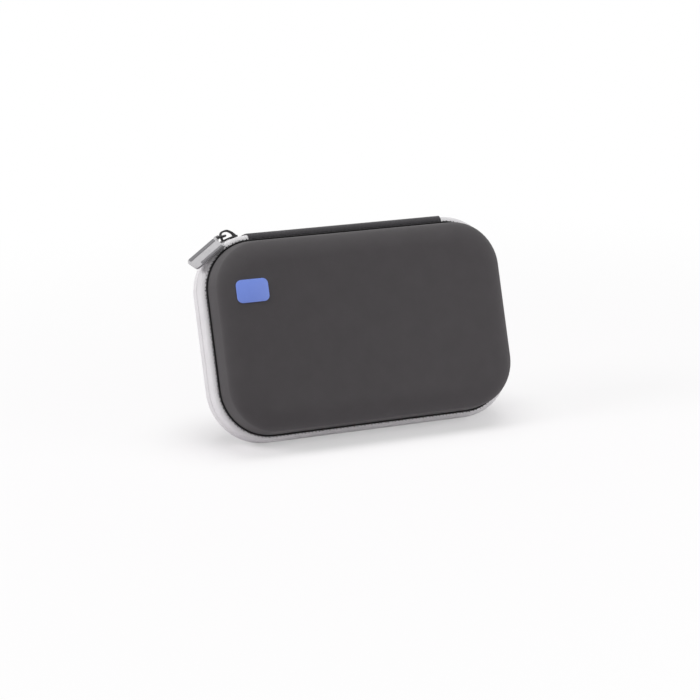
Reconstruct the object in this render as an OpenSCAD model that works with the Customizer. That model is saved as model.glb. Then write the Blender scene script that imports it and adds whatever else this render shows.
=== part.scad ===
// Zip-round carry case: two moulded shells closed by a zip on a raised ridge, with a
// folding spine along the top edge. It is drawn as it stands, closed, on the long edge
// opposite the spine and leaning back until the ridge and the rear shell both touch.

/* [Shells] */
// Width of each shell at its rim
rim_w = 197; // [190:1:230]
// Height of each shell at its rim
rim_h = 124; // [121:1:150]
// Corner radius of the rim, seen from the front
rim_r = 31.5; // [28:0.5:36]
// Depth of one half, from the parting plane to its flat face
half_depth = 32; // [30:0.5:42]
// Radius between the side wall and the flat face
face_round = 9.4; // [7:0.2:11]
// Draft angle of the moulded side wall
side_draft = 5.8; // [1:0.2:8]
// Thickness of the moulded foam wall
shell_wall = 3; // [2:0.1:4]
// Thickness of the fabric lining
lining_t = 0.5; // [0.3:0.1:1]

/* [Zip ridge] */
// Height of the ridge above the rim
ridge_h = 4.3; // [4:0.1:6]
// Depth of one half of the ridge, from the parting plane to its foot
ridge_foot = 9.9; // [9:0.1:14]
// Radius of the ridge's shoulder
ridge_round = 3.3; // [2:0.1:3.8]
// Thickness of the zip tape
tape_t = 0.8; // [0.5:0.1:1]
// Gap between each half and the parting plane
part_gap = 0.4; // [0.3:0.05:0.6]
// Width of the channel under the free edge of each tape
channel_w = 3.6; // [3.4:0.1:5]
// Diameter of one side of the zip coil
coil_d = 1.8; // [1.2:0.1:1.9]
// Gap between the coil and the parting plane
coil_gap = 0.3; // [0.1:0.05:0.5]
// Clearance of the coil from the tape that lies over it
coil_fit = 0.05; // [0.02:0.01:0.1]
// Diameter of the cord sewn along the foot of the ridge
seam_d = 1.1; // [0.8:0.1:1.6]
// Angle of corner taken up by each end stop of the zip
stop_angle = 2.5; // [2:0.5:5]
// Gap between the spine and the ends of the zip
stop_gap = 1.2; // [1:0.1:3]

/* [Spine] */
// Thickness of the spine strip over the ridge
spine_t = 1.8; // [1:0.1:2.4]
// Thickness of the spine strip down the sides of the ridge
spine_side_t = 0.75; // [0.5:0.05:0.75]
// Clearance of both spine strips from what they cover
spine_fit = 0.05; // [0.02:0.01:0.1]
// Gap between each end of the spine and the zip tape
spine_gap = 0.3; // [0.1:0.1:1]
// Height of the folding axis above the rim
fold_h = 4.6; // [4.5:0.1:5]
// Width of the inner spine strip
inner_spine_w = 14; // [10:1:20]
// Thickness of the inner spine strip
inner_spine_t = 0.3; // [0.2:0.05:0.4]

/* [Insert] */
// Thickness of the solid foam under the wells
bed_t = 3; // [3:0.5:6]
// Depth of the cut wells
well_depth = 20.4; // [16:0.2:21]
// Clearance of the foam from the lining
foam_fit = 0.5; // [0.4:0.1:1]
// Thickness of foam between neighbouring wells and at the edge
well_web = 4.5; // [3:0.5:5]
// Corner radius of the wells
well_r = 5; // [2:0.5:8]
// Length of the wide part of the long well
long_well_l = 136; // [120:1:140]
// Width of the long well
long_well_w = 31; // [28:0.5:32]
// Length of the narrow end of the long well
neck_well_l = 24; // [16:1:30]
// Width of the narrow end of the long well
neck_well_w = 22; // [16:0.5:26]
// Height of the well for the tall head
tall_well_h = 67.5; // [60:0.5:68]
// Width of the well for the tall head
tall_well_w = 42; // [36:1:44]
// Width of the well for the wide head
wide_well_w = 64; // [56:1:66]
// Height of the well for the wide head
wide_well_h = 67.5; // [60:0.5:68]
// Diameter of the round well
round_well_d = 31; // [28:0.5:34]
// Width of the well for small parts
small_well_w = 46; // [36:1:48]
// Height of the well for small parts
small_well_h = 25; // [18:1:28]
// Thickness of the pad in the lid
lid_pad_t = 10; // [4:0.5:12]

/* [Lid pocket] */
// Width of the pocket's net
pocket_w = 150; // [120:1:154]
// Height of the pocket's net
pocket_h = 70; // [60:1:76]
// Depth of the pocket
pocket_d = 7.6; // [6:0.2:10]
// Thickness of the net
net_t = 0.6; // [0.4:0.1:1]
// Height of the elastic along the mouth
elastic_h = 7; // [5:0.5:9]
// Thickness of the elastic
elastic_t = 1.6; // [1:0.1:2]
// Width of the sewn binding round the pocket
binding_w = 6; // [4:0.5:8]
// Thickness of the binding
binding_t = 0.8; // [0.5:0.1:1.2]
// Height of the pocket's foot above the middle of the lid, negative below it
pocket_y = -42; // [-44:1:-36]

/* [Label] */
// Width of the blank label
label_w = 21; // [16:0.5:24]
// Height of the blank label
label_h = 14.5; // [10:0.5:20]
// Corner radius of the blank label
label_r = 3.5; // [1:0.5:5]
// Thickness of the blank label
label_t = 0.5; // [0.3:0.1:1]
// Distance from the middle of the lid to the label's middle, leftwards
label_x = 76; // [60:1:76]
// Distance from the middle of the lid to the label's middle, upwards
label_y = 28.8; // [0:0.2:36]

/* [Slider and pull] */
// Place of the closed slider round the corner, in degrees from the corner's start
slider_at = 16; // [14:0.5:24]
// Length of the slider, in degrees of the corner
slider_arc = 17; // [14:0.5:18]
// Width of the slider's outer plate
slider_w = 7; // [6:0.1:7]
// Thickness of the slider's outer plate
slider_plate_t = 1.2; // [0.8:0.1:1.6]
// Thickness of the slider's inner plate
inner_plate_t = 0.8; // [0.5:0.1:0.9]
// Reach of the inner plate from the parting plane
inner_plate_w = 2; // [1.5:0.1:2.2]
// Running gap between the slider and the zip
slider_gap = 0.3; // [0.2:0.05:0.4]
// Thickness of the slider's post between the tapes
post_t = 0.4; // [0.3:0.05:0.5]
// Height of the crown above the ridge
crown_h = 6.9; // [6.4:0.1:8]
// Width of the crown
crown_w = 2.4; // [2:0.1:3]
// Thickness of the crown's strap
crown_t = 1.2; // [0.8:0.1:1.3]
// Diameter of the link's wire
link_d = 1.4; // [1:0.1:1.5]
// Distance between the link's two bars
link_l = 5.3; // [5.2:0.1:7]
// Fall of the link below level, to the left
link_fall = 8; // [0:1:12]
// Distance from the parting plane to the link's front rail
link_front = 4.6; // [4:0.1:6]
// Distance from the parting plane to the link's rear rail
link_back = 2.2; // [2.2:0.1:4]
// Length of the flat part of the tab
tab_l = 24; // [16:1:32]
// Width of the tab
tab_w = 10.5; // [8:0.5:11]
// Thickness of the tab
tab_t = 1.8; // [1.4:0.1:2]
// Width of the darker strip along the tab's lower edge
tab_edge_w = 1.9; // [1:0.1:2.5]
// Width of the darker strip along the tab's upper edge
tab_upper_edge_w = 2.7; // [1:0.1:3.5]
// Height that the darker edges stand above the tab
tab_edge_t = 0.25; // [0.1:0.05:0.4]
// Fall of the tab below level, to the left
tab_fall = 33.6; // [30:0.2:38]
// Roll of the tab about its length, from facing forwards
tab_roll = 46.6; // [42:0.2:50]

/* [Movement] */
// Opening angle of the lid that is drawn
lid_open = 0; // [0:1:180]

/* [Hidden] */
$fn = 96;

corner_x = rim_w / 2 - rim_r;
corner_y = rim_h / 2 - rim_r;

// Section of one half: u runs outwards from the rim and v from the parting plane to the face
round_v = half_depth - face_round;
round_u = -(face_round + (round_v - ridge_foot) * sin(side_draft)) / cos(side_draft);
face_in = half_depth - shell_wall;
lining_in = face_in - lining_t;

// The ridge and the zip under the free edges of its tapes
flange_h = ridge_h - tape_t;
flange_foot = ridge_foot - tape_t;
shoulder_u = ridge_h - ridge_round;
shoulder_v = ridge_foot - ridge_round;
coil_r = coil_d / 2;
coil_u = flange_h - coil_fit - coil_r;
coil_v = part_gap + coil_gap + coil_r;
coil_from = stop_gap + stop_angle;

// The slider's plates lie over the tape and under the coil
outer_plate_u = ridge_h + slider_gap;
outer_plate_top = outer_plate_u + slider_plate_t;
inner_plate_top = coil_u - coil_r - slider_gap;
slider_zone = slider_at + slider_arc;

// Lean at which the shoulder of the ridge and the round of the rear shell touch one level
contact_du = (round_u - shoulder_u) * -1;
contact_dv = round_v - shoulder_v;
contact_dr = face_round - ridge_round;
lean = atan2(contact_du, contact_dv) - asin(contact_dr / norm([contact_du, contact_dv]));
lift = (rim_h / 2 + shoulder_u) * cos(lean) + shoulder_v * sin(lean) + ridge_round;

// The pull hangs from the crown: the link's near bar lies under the strap, ahead of its middle
pivot_ahead = 3.3;
pivot_drop = 2.3;
pivot_at = slider_at + pivot_ahead;
pivot_u = ridge_h + crown_h - crown_t - pivot_drop;
pivot = [-corner_x - (rim_r + pivot_u) * sin(pivot_at), corner_y + (rim_r + pivot_u) * cos(pivot_at)];
far_bar = pivot + link_l * [-cos(link_fall), -sin(link_fall)];
link_bend = 1.3;
sleeve_wall = 0.7;
sleeve_r = link_d / 2 + sleeve_wall;
sleeve_fit = 0.1;
sleeve_side_gap = 0.3;
tab_left_by = 0.5;
tab_below_by = 3.5;
tab_forward = 7.6;
tab_top = [far_bar.x - tab_left_by, far_bar.y - tab_below_by, tab_forward];
tab_left = tab_top.x - tab_l * cos(tab_fall) - tab_w / 2 * cos(tab_roll) * sin(tab_fall);

// The origin lies under the middle of the whole, the pull tab counted in
shift_x = -(rim_w / 2 + ridge_h + min(tab_left, -rim_w / 2 - ridge_h)) / 2;

// How far a cut runs past the face that it opens
cut_over = 1;

// Wells, placed from the edge of the foam inwards
foam_inset = shell_wall + lining_t + foam_fit;
foam_front = lining_in - bed_t - well_depth;
foam_x = rim_w / 2 - foam_inset - (lining_in - ridge_foot) * tan(side_draft);
foam_y = rim_h / 2 - foam_inset - (lining_in - ridge_foot) * tan(side_draft);
long_well_y = foam_y - well_web - long_well_w / 2;
long_well_x = -(long_well_l + neck_well_l) / 2;
heads_top = long_well_y - long_well_w / 2 - well_web;

// The tall well's lower corner keeps the same web to the foam's rounded corner
foam_corner_r = foam_x - corner_x;
corner_reach = foam_corner_r - well_web - well_r;
corner_drop = max(0, tall_well_h - heads_top - well_r - corner_y);
tall_well_left = corner_x + sqrt(max(0, corner_reach * corner_reach - corner_drop * corner_drop)) + well_r;
tall_well_x = -tall_well_left + tall_well_w / 2;
wide_well_x = tall_well_x + tall_well_w / 2 + well_web + wide_well_w / 2;
side_wells_x = wide_well_x + wide_well_w / 2 + well_web + small_well_w / 2;
small_well_y = heads_top - small_well_h / 2;
round_well_y = small_well_y - small_well_h / 2 - well_web - round_well_d / 2;

// The case as it stands: seen from the front before, x right, y up and z forwards
module stand() {
    translate([shift_x, 0, lift])
        rotate([90 - lean, 0, 0])
            children();
}

// Parts of the rear half are drawn as the front half's mirror image
module rear() {
    mirror([0, 0, 1])
        children();
}

// Opens the lid about the fold of the spine
module opened() {
    translate([0, rim_h / 2 + fold_h, 0])
        rotate([-lid_open, 0, 0])
            translate([0, -rim_h / 2 - fold_h, 0])
                children();
}

// A section carried along one side of the rim: 0 right, 1 top, 2 left, 3 bottom
module rim_side(side) {
    across = (side % 2 == 0) ? rim_w : rim_h;
    along = (side % 2 == 0) ? rim_h : rim_w;
    rotate(90 * side)
        translate([across / 2, 0, 0])
            rotate([90, 0, 0])
                linear_extrude(along - 2 * rim_r, center = true)
                    children();
}

// A section carried round one corner: 0 top right, 1 top left, 2 bottom left, 3 bottom right
module rim_corner(corner, from = 0, to = 90) {
    side_x = (corner == 0 || corner == 3) ? 1 : -1;
    side_y = (corner < 2) ? 1 : -1;
    translate([side_x * corner_x, side_y * corner_y, 0])
        rotate(90 * corner + from)
            rotate_extrude(angle = to - from)
                translate([rim_r, 0])
                    children();
}

// A section carried all round the rim
module rim_sweep() {
    for (side = [0 : 3])
        rim_side(side)
            children();
    for (corner = [0 : 3])
        rim_corner(corner)
            children();
}

// A section carried along the zip, from the top left corner round to the top right one
module zip_sweep(left_from = 0, right_from = 0) {
    rim_corner(1, from = left_from)
        children();
    rim_side(2)
        children();
    rim_corner(2)
        children();
    rim_side(3)
        children();
    rim_corner(3)
        children();
    rim_side(0)
        children();
    rim_corner(0, to = 90 - right_from)
        children();
}

// Section of everything that lies deeper than inset inside the outside of one half
module inside_section(inset) {
    round_r = face_round - inset;
    bend_v = ridge_foot - inset * tan(side_draft / 2);
    face_v = half_depth - inset;
    tangent_u = round_u + round_r * cos(side_draft);
    tangent_v = round_v + round_r * sin(side_draft);
    polygon([
        [-rim_r, 0], [-inset, 0], [-inset, bend_v], [tangent_u, tangent_v],
        [round_u, round_v], [round_u, face_v], [-rim_r, face_v]
    ]);
    translate([round_u, round_v])
        circle(r = round_r);
}

// Section between two depths
module depth_band(from, to) {
    intersection() {
        children();
        translate([-rim_r, from])
            square([rim_r + ridge_h + spine_t, to - from]);
    }
}

// Flat middle of a layer, inside the corners' centres
module middle(from, to) {
    translate([-corner_x, -corner_y, from])
        cube([2 * corner_x, 2 * corner_y, to - from]);
}

// A skin between two insets, from the parting gap over the whole face
module skin(outer, inner) {
    rim_sweep()
        depth_band(part_gap, half_depth)
            difference() {
                inside_section(outer);
                inside_section(inner);
            }
    middle(half_depth - inner, half_depth - outer);
}

// A slab that fills the half between two depths
module slab(inset, from, to) {
    rim_sweep()
        depth_band(from, to)
            inside_section(inset);
    middle(from, to);
}

// Section of the ridge's outside, less a given thickness
module ridge_section(less = 0) {
    r = ridge_round - less;
    polygon([
        [0, 0], [ridge_h - less, 0], [ridge_h - less, shoulder_v], [shoulder_u, shoulder_v],
        [shoulder_u, ridge_foot - less], [0, ridge_foot - less]
    ]);
    translate([shoulder_u, shoulder_v])
        circle(r = r);
}

module half_shell() {
    skin(0, shell_wall);
    rim_sweep()
        intersection() {
            ridge_section(tape_t);
            translate([0, part_gap + channel_w])
                square([ridge_h, ridge_foot]);
        }
}

module tape_section() {
    intersection() {
        difference() {
            ridge_section();
            ridge_section(tape_t);
        }
        translate([0, part_gap])
            square([ridge_h, ridge_foot]);
    }
}

module coil_section() {
    translate([coil_u, coil_v])
        circle(r = coil_r);
}

// Section of an end stop, a square as high as the coil that it ends
module stop_section() {
    translate([coil_u - coil_r, part_gap + coil_gap])
        square([coil_d, coil_d]);
}

module seam_section() {
    translate([seam_d / 2, ridge_foot + seam_d / 2])
        circle(d = seam_d);
}

// A rounded block, its corners along z
module rounded_block(w, h, r, t) {
    translate([-w / 2 + r, -h / 2, 0])
        cube([w - 2 * r, h, t]);
    translate([-w / 2, -h / 2 + r, 0])
        cube([w, h - 2 * r, t]);
    for (x = [-w / 2 + r, w / 2 - r], y = [-h / 2 + r, h / 2 - r])
        translate([x, y, 0])
            cylinder(r = r, h = t);
}

module base_shell() {
    color("#454245")
        stand()
            rear()
                half_shell();
}

module base_lining() {
    color("#2b2b2d")
        stand()
            rear()
                skin(shell_wall, shell_wall + lining_t);
}

module base_seam_cord() {
    color("#262626")
        stand()
            rear()
                rim_sweep()
                    seam_section();
}

// The rear tape has no free edge where the closed slider sits, so that the lid can leave
module base_zip_tape() {
    color("#e0e0e0")
        stand()
            rear()
                difference() {
                    zip_sweep()
                        tape_section();
                    rim_corner(1, from = -cut_over, to = slider_zone)
                        translate([flange_h - cut_over, -cut_over])
                            square([tape_t + 2 * cut_over, part_gap + channel_w + cut_over]);
                }
}

module base_zip_coil() {
    color("#cfcfcf")
        stand()
            rear()
                zip_sweep(left_from = slider_zone + stop_angle, right_from = coil_from)
                    coil_section();
}

module base_zip_stops() {
    color("#9a9a9a")
        stand()
            rear() {
                rim_corner(1, from = slider_zone, to = slider_zone + stop_angle)
                    stop_section();
                rim_corner(0, from = 90 - coil_from, to = 90 - stop_gap)
                    stop_section();
            }
}

module foam_bed() {
    color("#1f1f20")
        stand()
            rear()
                slab(foam_inset, lining_in - bed_t, lining_in);
}

module well(x, y, w, h) {
    translate([x, y, foam_front - cut_over])
        rounded_block(w, h, well_r, well_depth + 2 * cut_over);
}

module foam_insert() {
    color("#262627")
        stand()
            rear()
                difference() {
                    slab(foam_inset, foam_front, lining_in - bed_t);
                    well(long_well_x + long_well_l / 2, long_well_y, long_well_l, long_well_w);
                    well(long_well_x + long_well_l, long_well_y, 2 * neck_well_l, neck_well_w);
                    well(tall_well_x, heads_top - tall_well_h / 2, tall_well_w, tall_well_h);
                    well(wide_well_x, heads_top - wide_well_h / 2, wide_well_w, wide_well_h);
                    well(side_wells_x, small_well_y, small_well_w, small_well_h);
                    translate([side_wells_x, round_well_y, foam_front - cut_over])
                        cylinder(d = round_well_d, h = well_depth + 2 * cut_over);
                }
}

// Section of a cap over the whole ridge, with rounded shoulders
module cap_section(top, foot, r) {
    translate([0, -foot])
        square([top - r, 2 * foot]);
    translate([0, r - foot])
        square([top, 2 * (foot - r)]);
    for (v = [r - foot, foot - r])
        translate([top - r, v])
            circle(r = r);
}

// The strip folds over the ridge along the top, from one foot to the other
module spine_section() {
    intersection() {
        difference() {
            cap_section(flange_h + spine_t, flange_foot + spine_side_t, ridge_round);
            cap_section(flange_h + spine_fit, flange_foot + spine_fit, ridge_round - tape_t + spine_fit);
        }
        translate([0, -ridge_foot])
            square([flange_h + spine_t, 2 * ridge_foot]);
    }
}

module spine_strip() {
    color("#333333")
        stand()
            translate([0, rim_h / 2, 0])
                rotate([90, 0, 90])
                    linear_extrude(2 * (corner_x - spine_gap), center = true)
                        spine_section();
}

module inner_spine_strip() {
    inset = shell_wall + lining_t + spine_fit + inner_spine_t;
    color("#1d1d1e")
        stand()
            translate([-corner_x, rim_h / 2 - inset, -inner_spine_w / 2])
                cube([2 * corner_x, inner_spine_t, inner_spine_w]);
}

module lid_shell() {
    color("#454245")
        stand()
            opened()
                half_shell();
}

module lid_lining() {
    color("#2b2b2d")
        stand()
            opened()
                skin(shell_wall, shell_wall + lining_t);
}

module lid_seam_cord() {
    color("#262626")
        stand()
            opened()
                rim_sweep()
                    seam_section();
}

module lid_zip_tape() {
    color("#e0e0e0")
        stand()
            opened()
                zip_sweep()
                    tape_section();
}

module lid_zip_coil() {
    color("#cfcfcf")
        stand()
            opened()
                zip_sweep(left_from = coil_from, right_from = coil_from)
                    coil_section();
}

module lid_zip_stops() {
    color("#9a9a9a")
        stand()
            opened() {
                rim_corner(1, from = stop_gap, to = coil_from)
                    stop_section();
                rim_corner(0, from = 90 - coil_from, to = 90 - stop_gap)
                    stop_section();
            }
}

module lid_pad() {
    color("#262627")
        stand()
            opened()
                slab(foam_inset, lining_in - lid_pad_t, lining_in);
}

// The pocket stands off the pad on three sides and is open towards the spine
module pocket_net() {
    foot = lining_in - lid_pad_t;
    color("#303033")
        stand()
            opened()
                translate([-pocket_w / 2, pocket_y, foot - pocket_d]) {
                    cube([pocket_w, pocket_h, net_t]);
                    cube([pocket_w, net_t, pocket_d]);
                    cube([net_t, pocket_h, pocket_d]);
                    translate([pocket_w - net_t, 0, 0])
                        cube([net_t, pocket_h, pocket_d]);
                }
}

module pocket_binding() {
    color("#3a3a3d")
        stand()
            opened()
                translate([-pocket_w / 2 - binding_w, pocket_y - binding_w, lining_in - lid_pad_t - binding_t]) {
                    cube([pocket_w + 2 * binding_w, binding_w, binding_t]);
                    cube([binding_w, pocket_h + binding_w, binding_t]);
                    translate([pocket_w + binding_w, 0, 0])
                        cube([binding_w, pocket_h + binding_w, binding_t]);
                }
}

module pocket_elastic() {
    color("#19191a")
        stand()
            opened()
                translate([-pocket_w / 2, pocket_y + pocket_h, lining_in - lid_pad_t - pocket_d])
                    cube([pocket_w, elastic_h, elastic_t]);
}

module blank_label() {
    color("#7d97e6")
        stand()
            opened()
                translate([-label_x, label_y, half_depth])
                    rounded_block(label_w, label_h, label_r, label_t);
}

// The slider's own place: x outwards from the corner's centre, y along the zip
module at_slider(angle = slider_at) {
    stand()
        opened()
            translate([-corner_x, corner_y, 0])
                rotate(90 + angle)
                    children();
}

// Two curved plates, joined by a thin post in the nose's half
module slider_body() {
    post_from = 0.15 * slider_arc;
    post_arc = 0.25 * slider_arc;
    color("#2a2a2a")
        at_slider(slider_at - slider_arc / 2) {
            rotate_extrude(angle = slider_arc)
                translate([rim_r + outer_plate_u, -slider_w / 2])
                    square([slider_plate_t, slider_w]);
            rotate_extrude(angle = slider_arc)
                translate([rim_r + inner_plate_top - inner_plate_t, -inner_plate_w])
                    square([inner_plate_t, 2 * inner_plate_w]);
            rotate(post_from)
                rotate_extrude(angle = post_arc)
                    translate([rim_r + inner_plate_top - inner_plate_t / 2, -post_t / 2])
                        square([outer_plate_u - inner_plate_top + inner_plate_t, post_t]);
        }
}

// The crown is an open arch on the slider's outer plate, with a long nose towards the spine
module slider_crown() {
    top = rim_r + ridge_h + crown_h;
    foot = rim_r + outer_plate_top;
    root = foot - cut_over;
    nose = -foot * sin(slider_arc / 2);
    nose_t = crown_t + 0.1;
    nose_h = 0.9;
    nose_slant = 0.4;
    knee_drop = 0.9;
    knee = nose + 3.3;
    ramp_end = knee + 1.7;
    ramp_shift = 0.8 * crown_t;
    eye_to = 3.6;
    heel = eye_to + crown_t;
    shoulder = 2.6;
    eye_r = shoulder - crown_t;
    eye_top = top - crown_t;
    color("#242424")
        at_slider()
            difference() {
                translate([0, 0, -crown_w / 2])
                    linear_extrude(crown_w)
                        difference() {
                            union() {
                                polygon([
                                    [root, nose], [foot, nose], [foot + nose_h, nose + nose_slant],
                                    [top - knee_drop, knee], [top, ramp_end], [top, heel - shoulder],
                                    [top - shoulder, heel], [root, heel]
                                ]);
                                translate([top - shoulder, heel - shoulder])
                                    circle(r = shoulder);
                            }
                            polygon([
                                [root - cut_over, nose + nose_t], [foot + nose_slant / 2, nose + nose_t],
                                [top - knee_drop - ramp_shift, knee + ramp_shift],
                                [eye_top, ramp_end + ramp_shift / 2], [eye_top, eye_to - eye_r],
                                [eye_top - eye_r, eye_to], [root - cut_over, eye_to]
                            ]);
                            translate([eye_top - eye_r, eye_to - eye_r])
                                circle(r = eye_r);
                        }
                translate([0, 0, -crown_w])
                    cylinder(r = foot, h = 2 * crown_w);
            }
}

// The link is one ring of wire: x along it, y downwards and z forwards
module pull_link() {
    color("#2a2a2a")
        stand()
            opened()
                translate([pivot.x, pivot.y, 0])
                    rotate(180 + link_fall) {
                        for (x = [0, link_l])
                            translate([x, 0, -link_back + link_bend])
                                cylinder(d = link_d, h = link_front + link_back - 2 * link_bend);
                        for (z = [-link_back, link_front])
                            translate([link_bend, 0, z])
                                rotate([0, 90, 0])
                                    cylinder(d = link_d, h = link_l - 2 * link_bend);
                        link_corner(link_bend, -link_back + link_bend, 180);
                        link_corner(link_l - link_bend, -link_back + link_bend, 270);
                        link_corner(link_l - link_bend, link_front - link_bend, 0);
                        link_corner(link_bend, link_front - link_bend, 90);
                    }
}

module link_corner(x, z, turn) {
    translate([x, 0, z])
        rotate([0, -turn, 0])
            rotate([90, 0, 0])
                rotate_extrude(angle = 90)
                    translate([link_bend, 0])
                        circle(d = link_d);
}

// The tab's own place: x along it from its top edge, y across it and z out of its face
module at_tab() {
    stand()
        opened()
            translate(tab_top)
                rotate(180 + tab_fall)
                    rotate([tab_roll, 0, 0])
                        children();
}

module pull_tab() {
    color("#c8c8c8") {
        at_tab()
            tab_flat();
        stand()
            opened()
                difference() {
                    union() {
                        translate([far_bar.x, far_bar.y, -link_back + link_d / 2 + sleeve_side_gap])
                            cylinder(r = sleeve_r, h = link_front + link_back - link_d - 2 * sleeve_side_gap);
                        tab_neck();
                    }
                    translate([far_bar.x, far_bar.y, -link_back])
                        cylinder(r = link_d / 2 + sleeve_fit, h = link_front + link_back);
                }
    }
}

module tab_flat() {
    end_r = 2;
    translate([0, -tab_w / 2, -tab_t / 2])
        cube([tab_l - end_r, tab_w, tab_t]);
    translate([0, -tab_w / 2 + end_r, -tab_t / 2])
        cube([tab_l, tab_w - 2 * end_r, tab_t]);
    for (y = [-tab_w / 2 + end_r, tab_w / 2 - end_r])
        translate([tab_l - end_r, y, -tab_t / 2])
            cylinder(r = end_r, h = tab_t);
}

// The neck runs from the sleeve on the link down to the upper half of the tab's top edge
module tab_neck() {
    neck_d = 0.75 * tab_t;
    neck_x = far_bar.x - 0.75 * sleeve_r;
    neck_y = far_bar.y - 0.55 * sleeve_r;
    end_inset = 1.2;
    root_l = 0.6;
    hull() {
        translate([neck_x, neck_y, -link_back + end_inset])
            cylinder(d = neck_d, h = link_front + link_back - 2 * end_inset, $fn = 16);
        translate(tab_top)
            rotate(180 + tab_fall)
                rotate([tab_roll, 0, 0])
                    translate([0, -tab_w / 2, -tab_t / 2])
                        cube([root_l, tab_w / 2, tab_t]);
    }
}

// Two darker strips on the tab's front face, the upper one longer than the lower one
module pull_tab_edges() {
    margin = 0.2;
    from = 1;
    upper_to = tab_l - 1.5;
    lower_to = tab_l - 5;
    reach = tab_w / 2 - margin;
    color("#7a7a7a")
        at_tab() {
            translate([from, -reach, tab_t / 2])
                cube([upper_to - from, tab_upper_edge_w, tab_edge_t]);
            translate([from, reach - tab_edge_w, tab_t / 2])
                cube([lower_to - from, tab_edge_w, tab_edge_t]);
        }
}

base_shell();
base_lining();
base_seam_cord();
base_zip_tape();
base_zip_coil();
base_zip_stops();
foam_bed();
foam_insert();
spine_strip();
inner_spine_strip();
lid_shell();
lid_lining();
lid_seam_cord();
lid_zip_tape();
lid_zip_coil();
lid_zip_stops();
lid_pad();
pocket_net();
pocket_binding();
pocket_elastic();
blank_label();
slider_body();
slider_crown();
pull_link();
pull_tab();
pull_tab_edges();
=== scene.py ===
"""Looks of a moulded zip-round carry case: cloth, zip, spine, foam, pocket, slider and pull.

Every piece is drawn in the case's own flat frame, in millimetres: x to the right, y up and z
forwards, with the origin in the middle of the closed case. One matrix then stands it up.
"""

import logging
import math
from dataclasses import dataclass, field
from enum import Enum
from typing import Callable, Iterable, Sequence

import bmesh
import bpy
from bmesh.types import BMEdge, BMesh, BMFace, BMVert
from bpy.types import Material, Mesh, NodeSocket, NodeTree, Object
from mathutils import Matrix, Vector


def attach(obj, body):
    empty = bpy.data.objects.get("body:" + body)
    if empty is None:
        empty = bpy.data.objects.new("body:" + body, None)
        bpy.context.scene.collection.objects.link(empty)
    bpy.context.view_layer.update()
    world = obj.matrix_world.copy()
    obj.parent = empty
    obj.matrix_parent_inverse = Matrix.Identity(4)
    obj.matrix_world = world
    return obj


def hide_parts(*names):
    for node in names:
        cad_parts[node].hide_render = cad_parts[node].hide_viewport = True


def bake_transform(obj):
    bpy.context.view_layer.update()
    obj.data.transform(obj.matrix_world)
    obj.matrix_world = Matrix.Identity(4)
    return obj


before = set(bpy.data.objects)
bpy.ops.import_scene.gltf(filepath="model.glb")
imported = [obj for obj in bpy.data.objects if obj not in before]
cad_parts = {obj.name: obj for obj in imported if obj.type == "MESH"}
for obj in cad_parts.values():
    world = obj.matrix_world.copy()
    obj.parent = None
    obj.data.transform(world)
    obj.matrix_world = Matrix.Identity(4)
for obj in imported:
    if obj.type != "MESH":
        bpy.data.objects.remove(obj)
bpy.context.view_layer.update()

LOG = logging.getLogger("carry_case")
UV_NAME = "UVMap"

Point = tuple[float, float]
Place = tuple[float, float, float]
Inputs = dict[str | int, object]


# ---------------------------------------------------------------------------
# Sizes shared by the pieces, in millimetres and degrees
# ---------------------------------------------------------------------------


@dataclass(frozen=True)
class CaseSizes:
    """The sizes of the case that more than one piece needs."""

    rim_w: float = 197.0
    rim_h: float = 124.0
    rim_r: float = 31.5
    half_depth: float = 32.0
    face_round: float = 9.4
    face_soft: float = 15.0
    side_draft: float = 5.8
    shell_wall: float = 3.0
    lining_t: float = 0.5
    ridge_h: float = 4.3
    ridge_foot: float = 9.9
    ridge_round: float = 3.3
    tape_t: float = 0.8
    part_gap: float = 0.4
    channel_w: float = 3.6
    coil_d: float = 1.8
    coil_gap: float = 0.3
    coil_fit: float = 0.05
    seam_d: float = 1.1
    coil_from: float = 3.7
    slider_zone: float = 33.0
    slider_at: float = 16.0
    lean: float = 18.3633
    lift: float = 65.1712
    shift_x: float = 2.44545

    @property
    def corner_x(self) -> float:
        """Distance of a corner's centre from the middle, along x."""
        return self.rim_w / 2 - self.rim_r

    @property
    def corner_y(self) -> float:
        """Distance of a corner's centre from the middle, along y."""
        return self.rim_h / 2 - self.rim_r

    @property
    def round_v(self) -> float:
        """Depth at which the side wall's rounding starts."""
        return self.half_depth - self.face_round

    @property
    def round_u(self) -> float:
        """How far the rounding's centre lies outwards of the rim; it is negative."""
        draft = math.radians(self.side_draft)
        rise = (self.round_v - self.ridge_foot) * math.sin(draft)
        return -(self.face_round + rise) / math.cos(draft)

    @property
    def lining_in(self) -> float:
        """Depth of the lining's inner face."""
        return self.half_depth - self.shell_wall - self.lining_t

    @property
    def flange_h(self) -> float:
        """Height of the shell's own ridge, under the tape."""
        return self.ridge_h - self.tape_t

    @property
    def coil_u(self) -> float:
        """Height of the coil's middle above the rim."""
        return self.flange_h - self.coil_fit - self.coil_d / 2

    @property
    def strip_foot(self) -> float:
        """Depth of the tape's inner face at the foot of the ridge."""
        return self.ridge_foot - self.tape_t

    @property
    def perimeter(self) -> float:
        """Length of the rim's line all round."""
        return 2 * math.pi * self.rim_r + 4 * (self.corner_x + self.corner_y)

    def inset_outline(self, inset: float) -> list[Point]:
        """The rim's outline, moved inwards."""
        return rounded_outline(self.rim_w - 2 * inset, self.rim_h - 2 * inset, self.rim_r - inset, steps=12)

    def stand(self) -> Matrix:
        """Matrix from the flat frame in millimetres to the standing case in metres."""
        place = Matrix.Translation((self.shift_x / 1000, 0, self.lift / 1000))
        return place @ turned(90 - self.lean, "X") @ Matrix.Scale(0.001, 4)


SIZES = CaseSizes()


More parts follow.
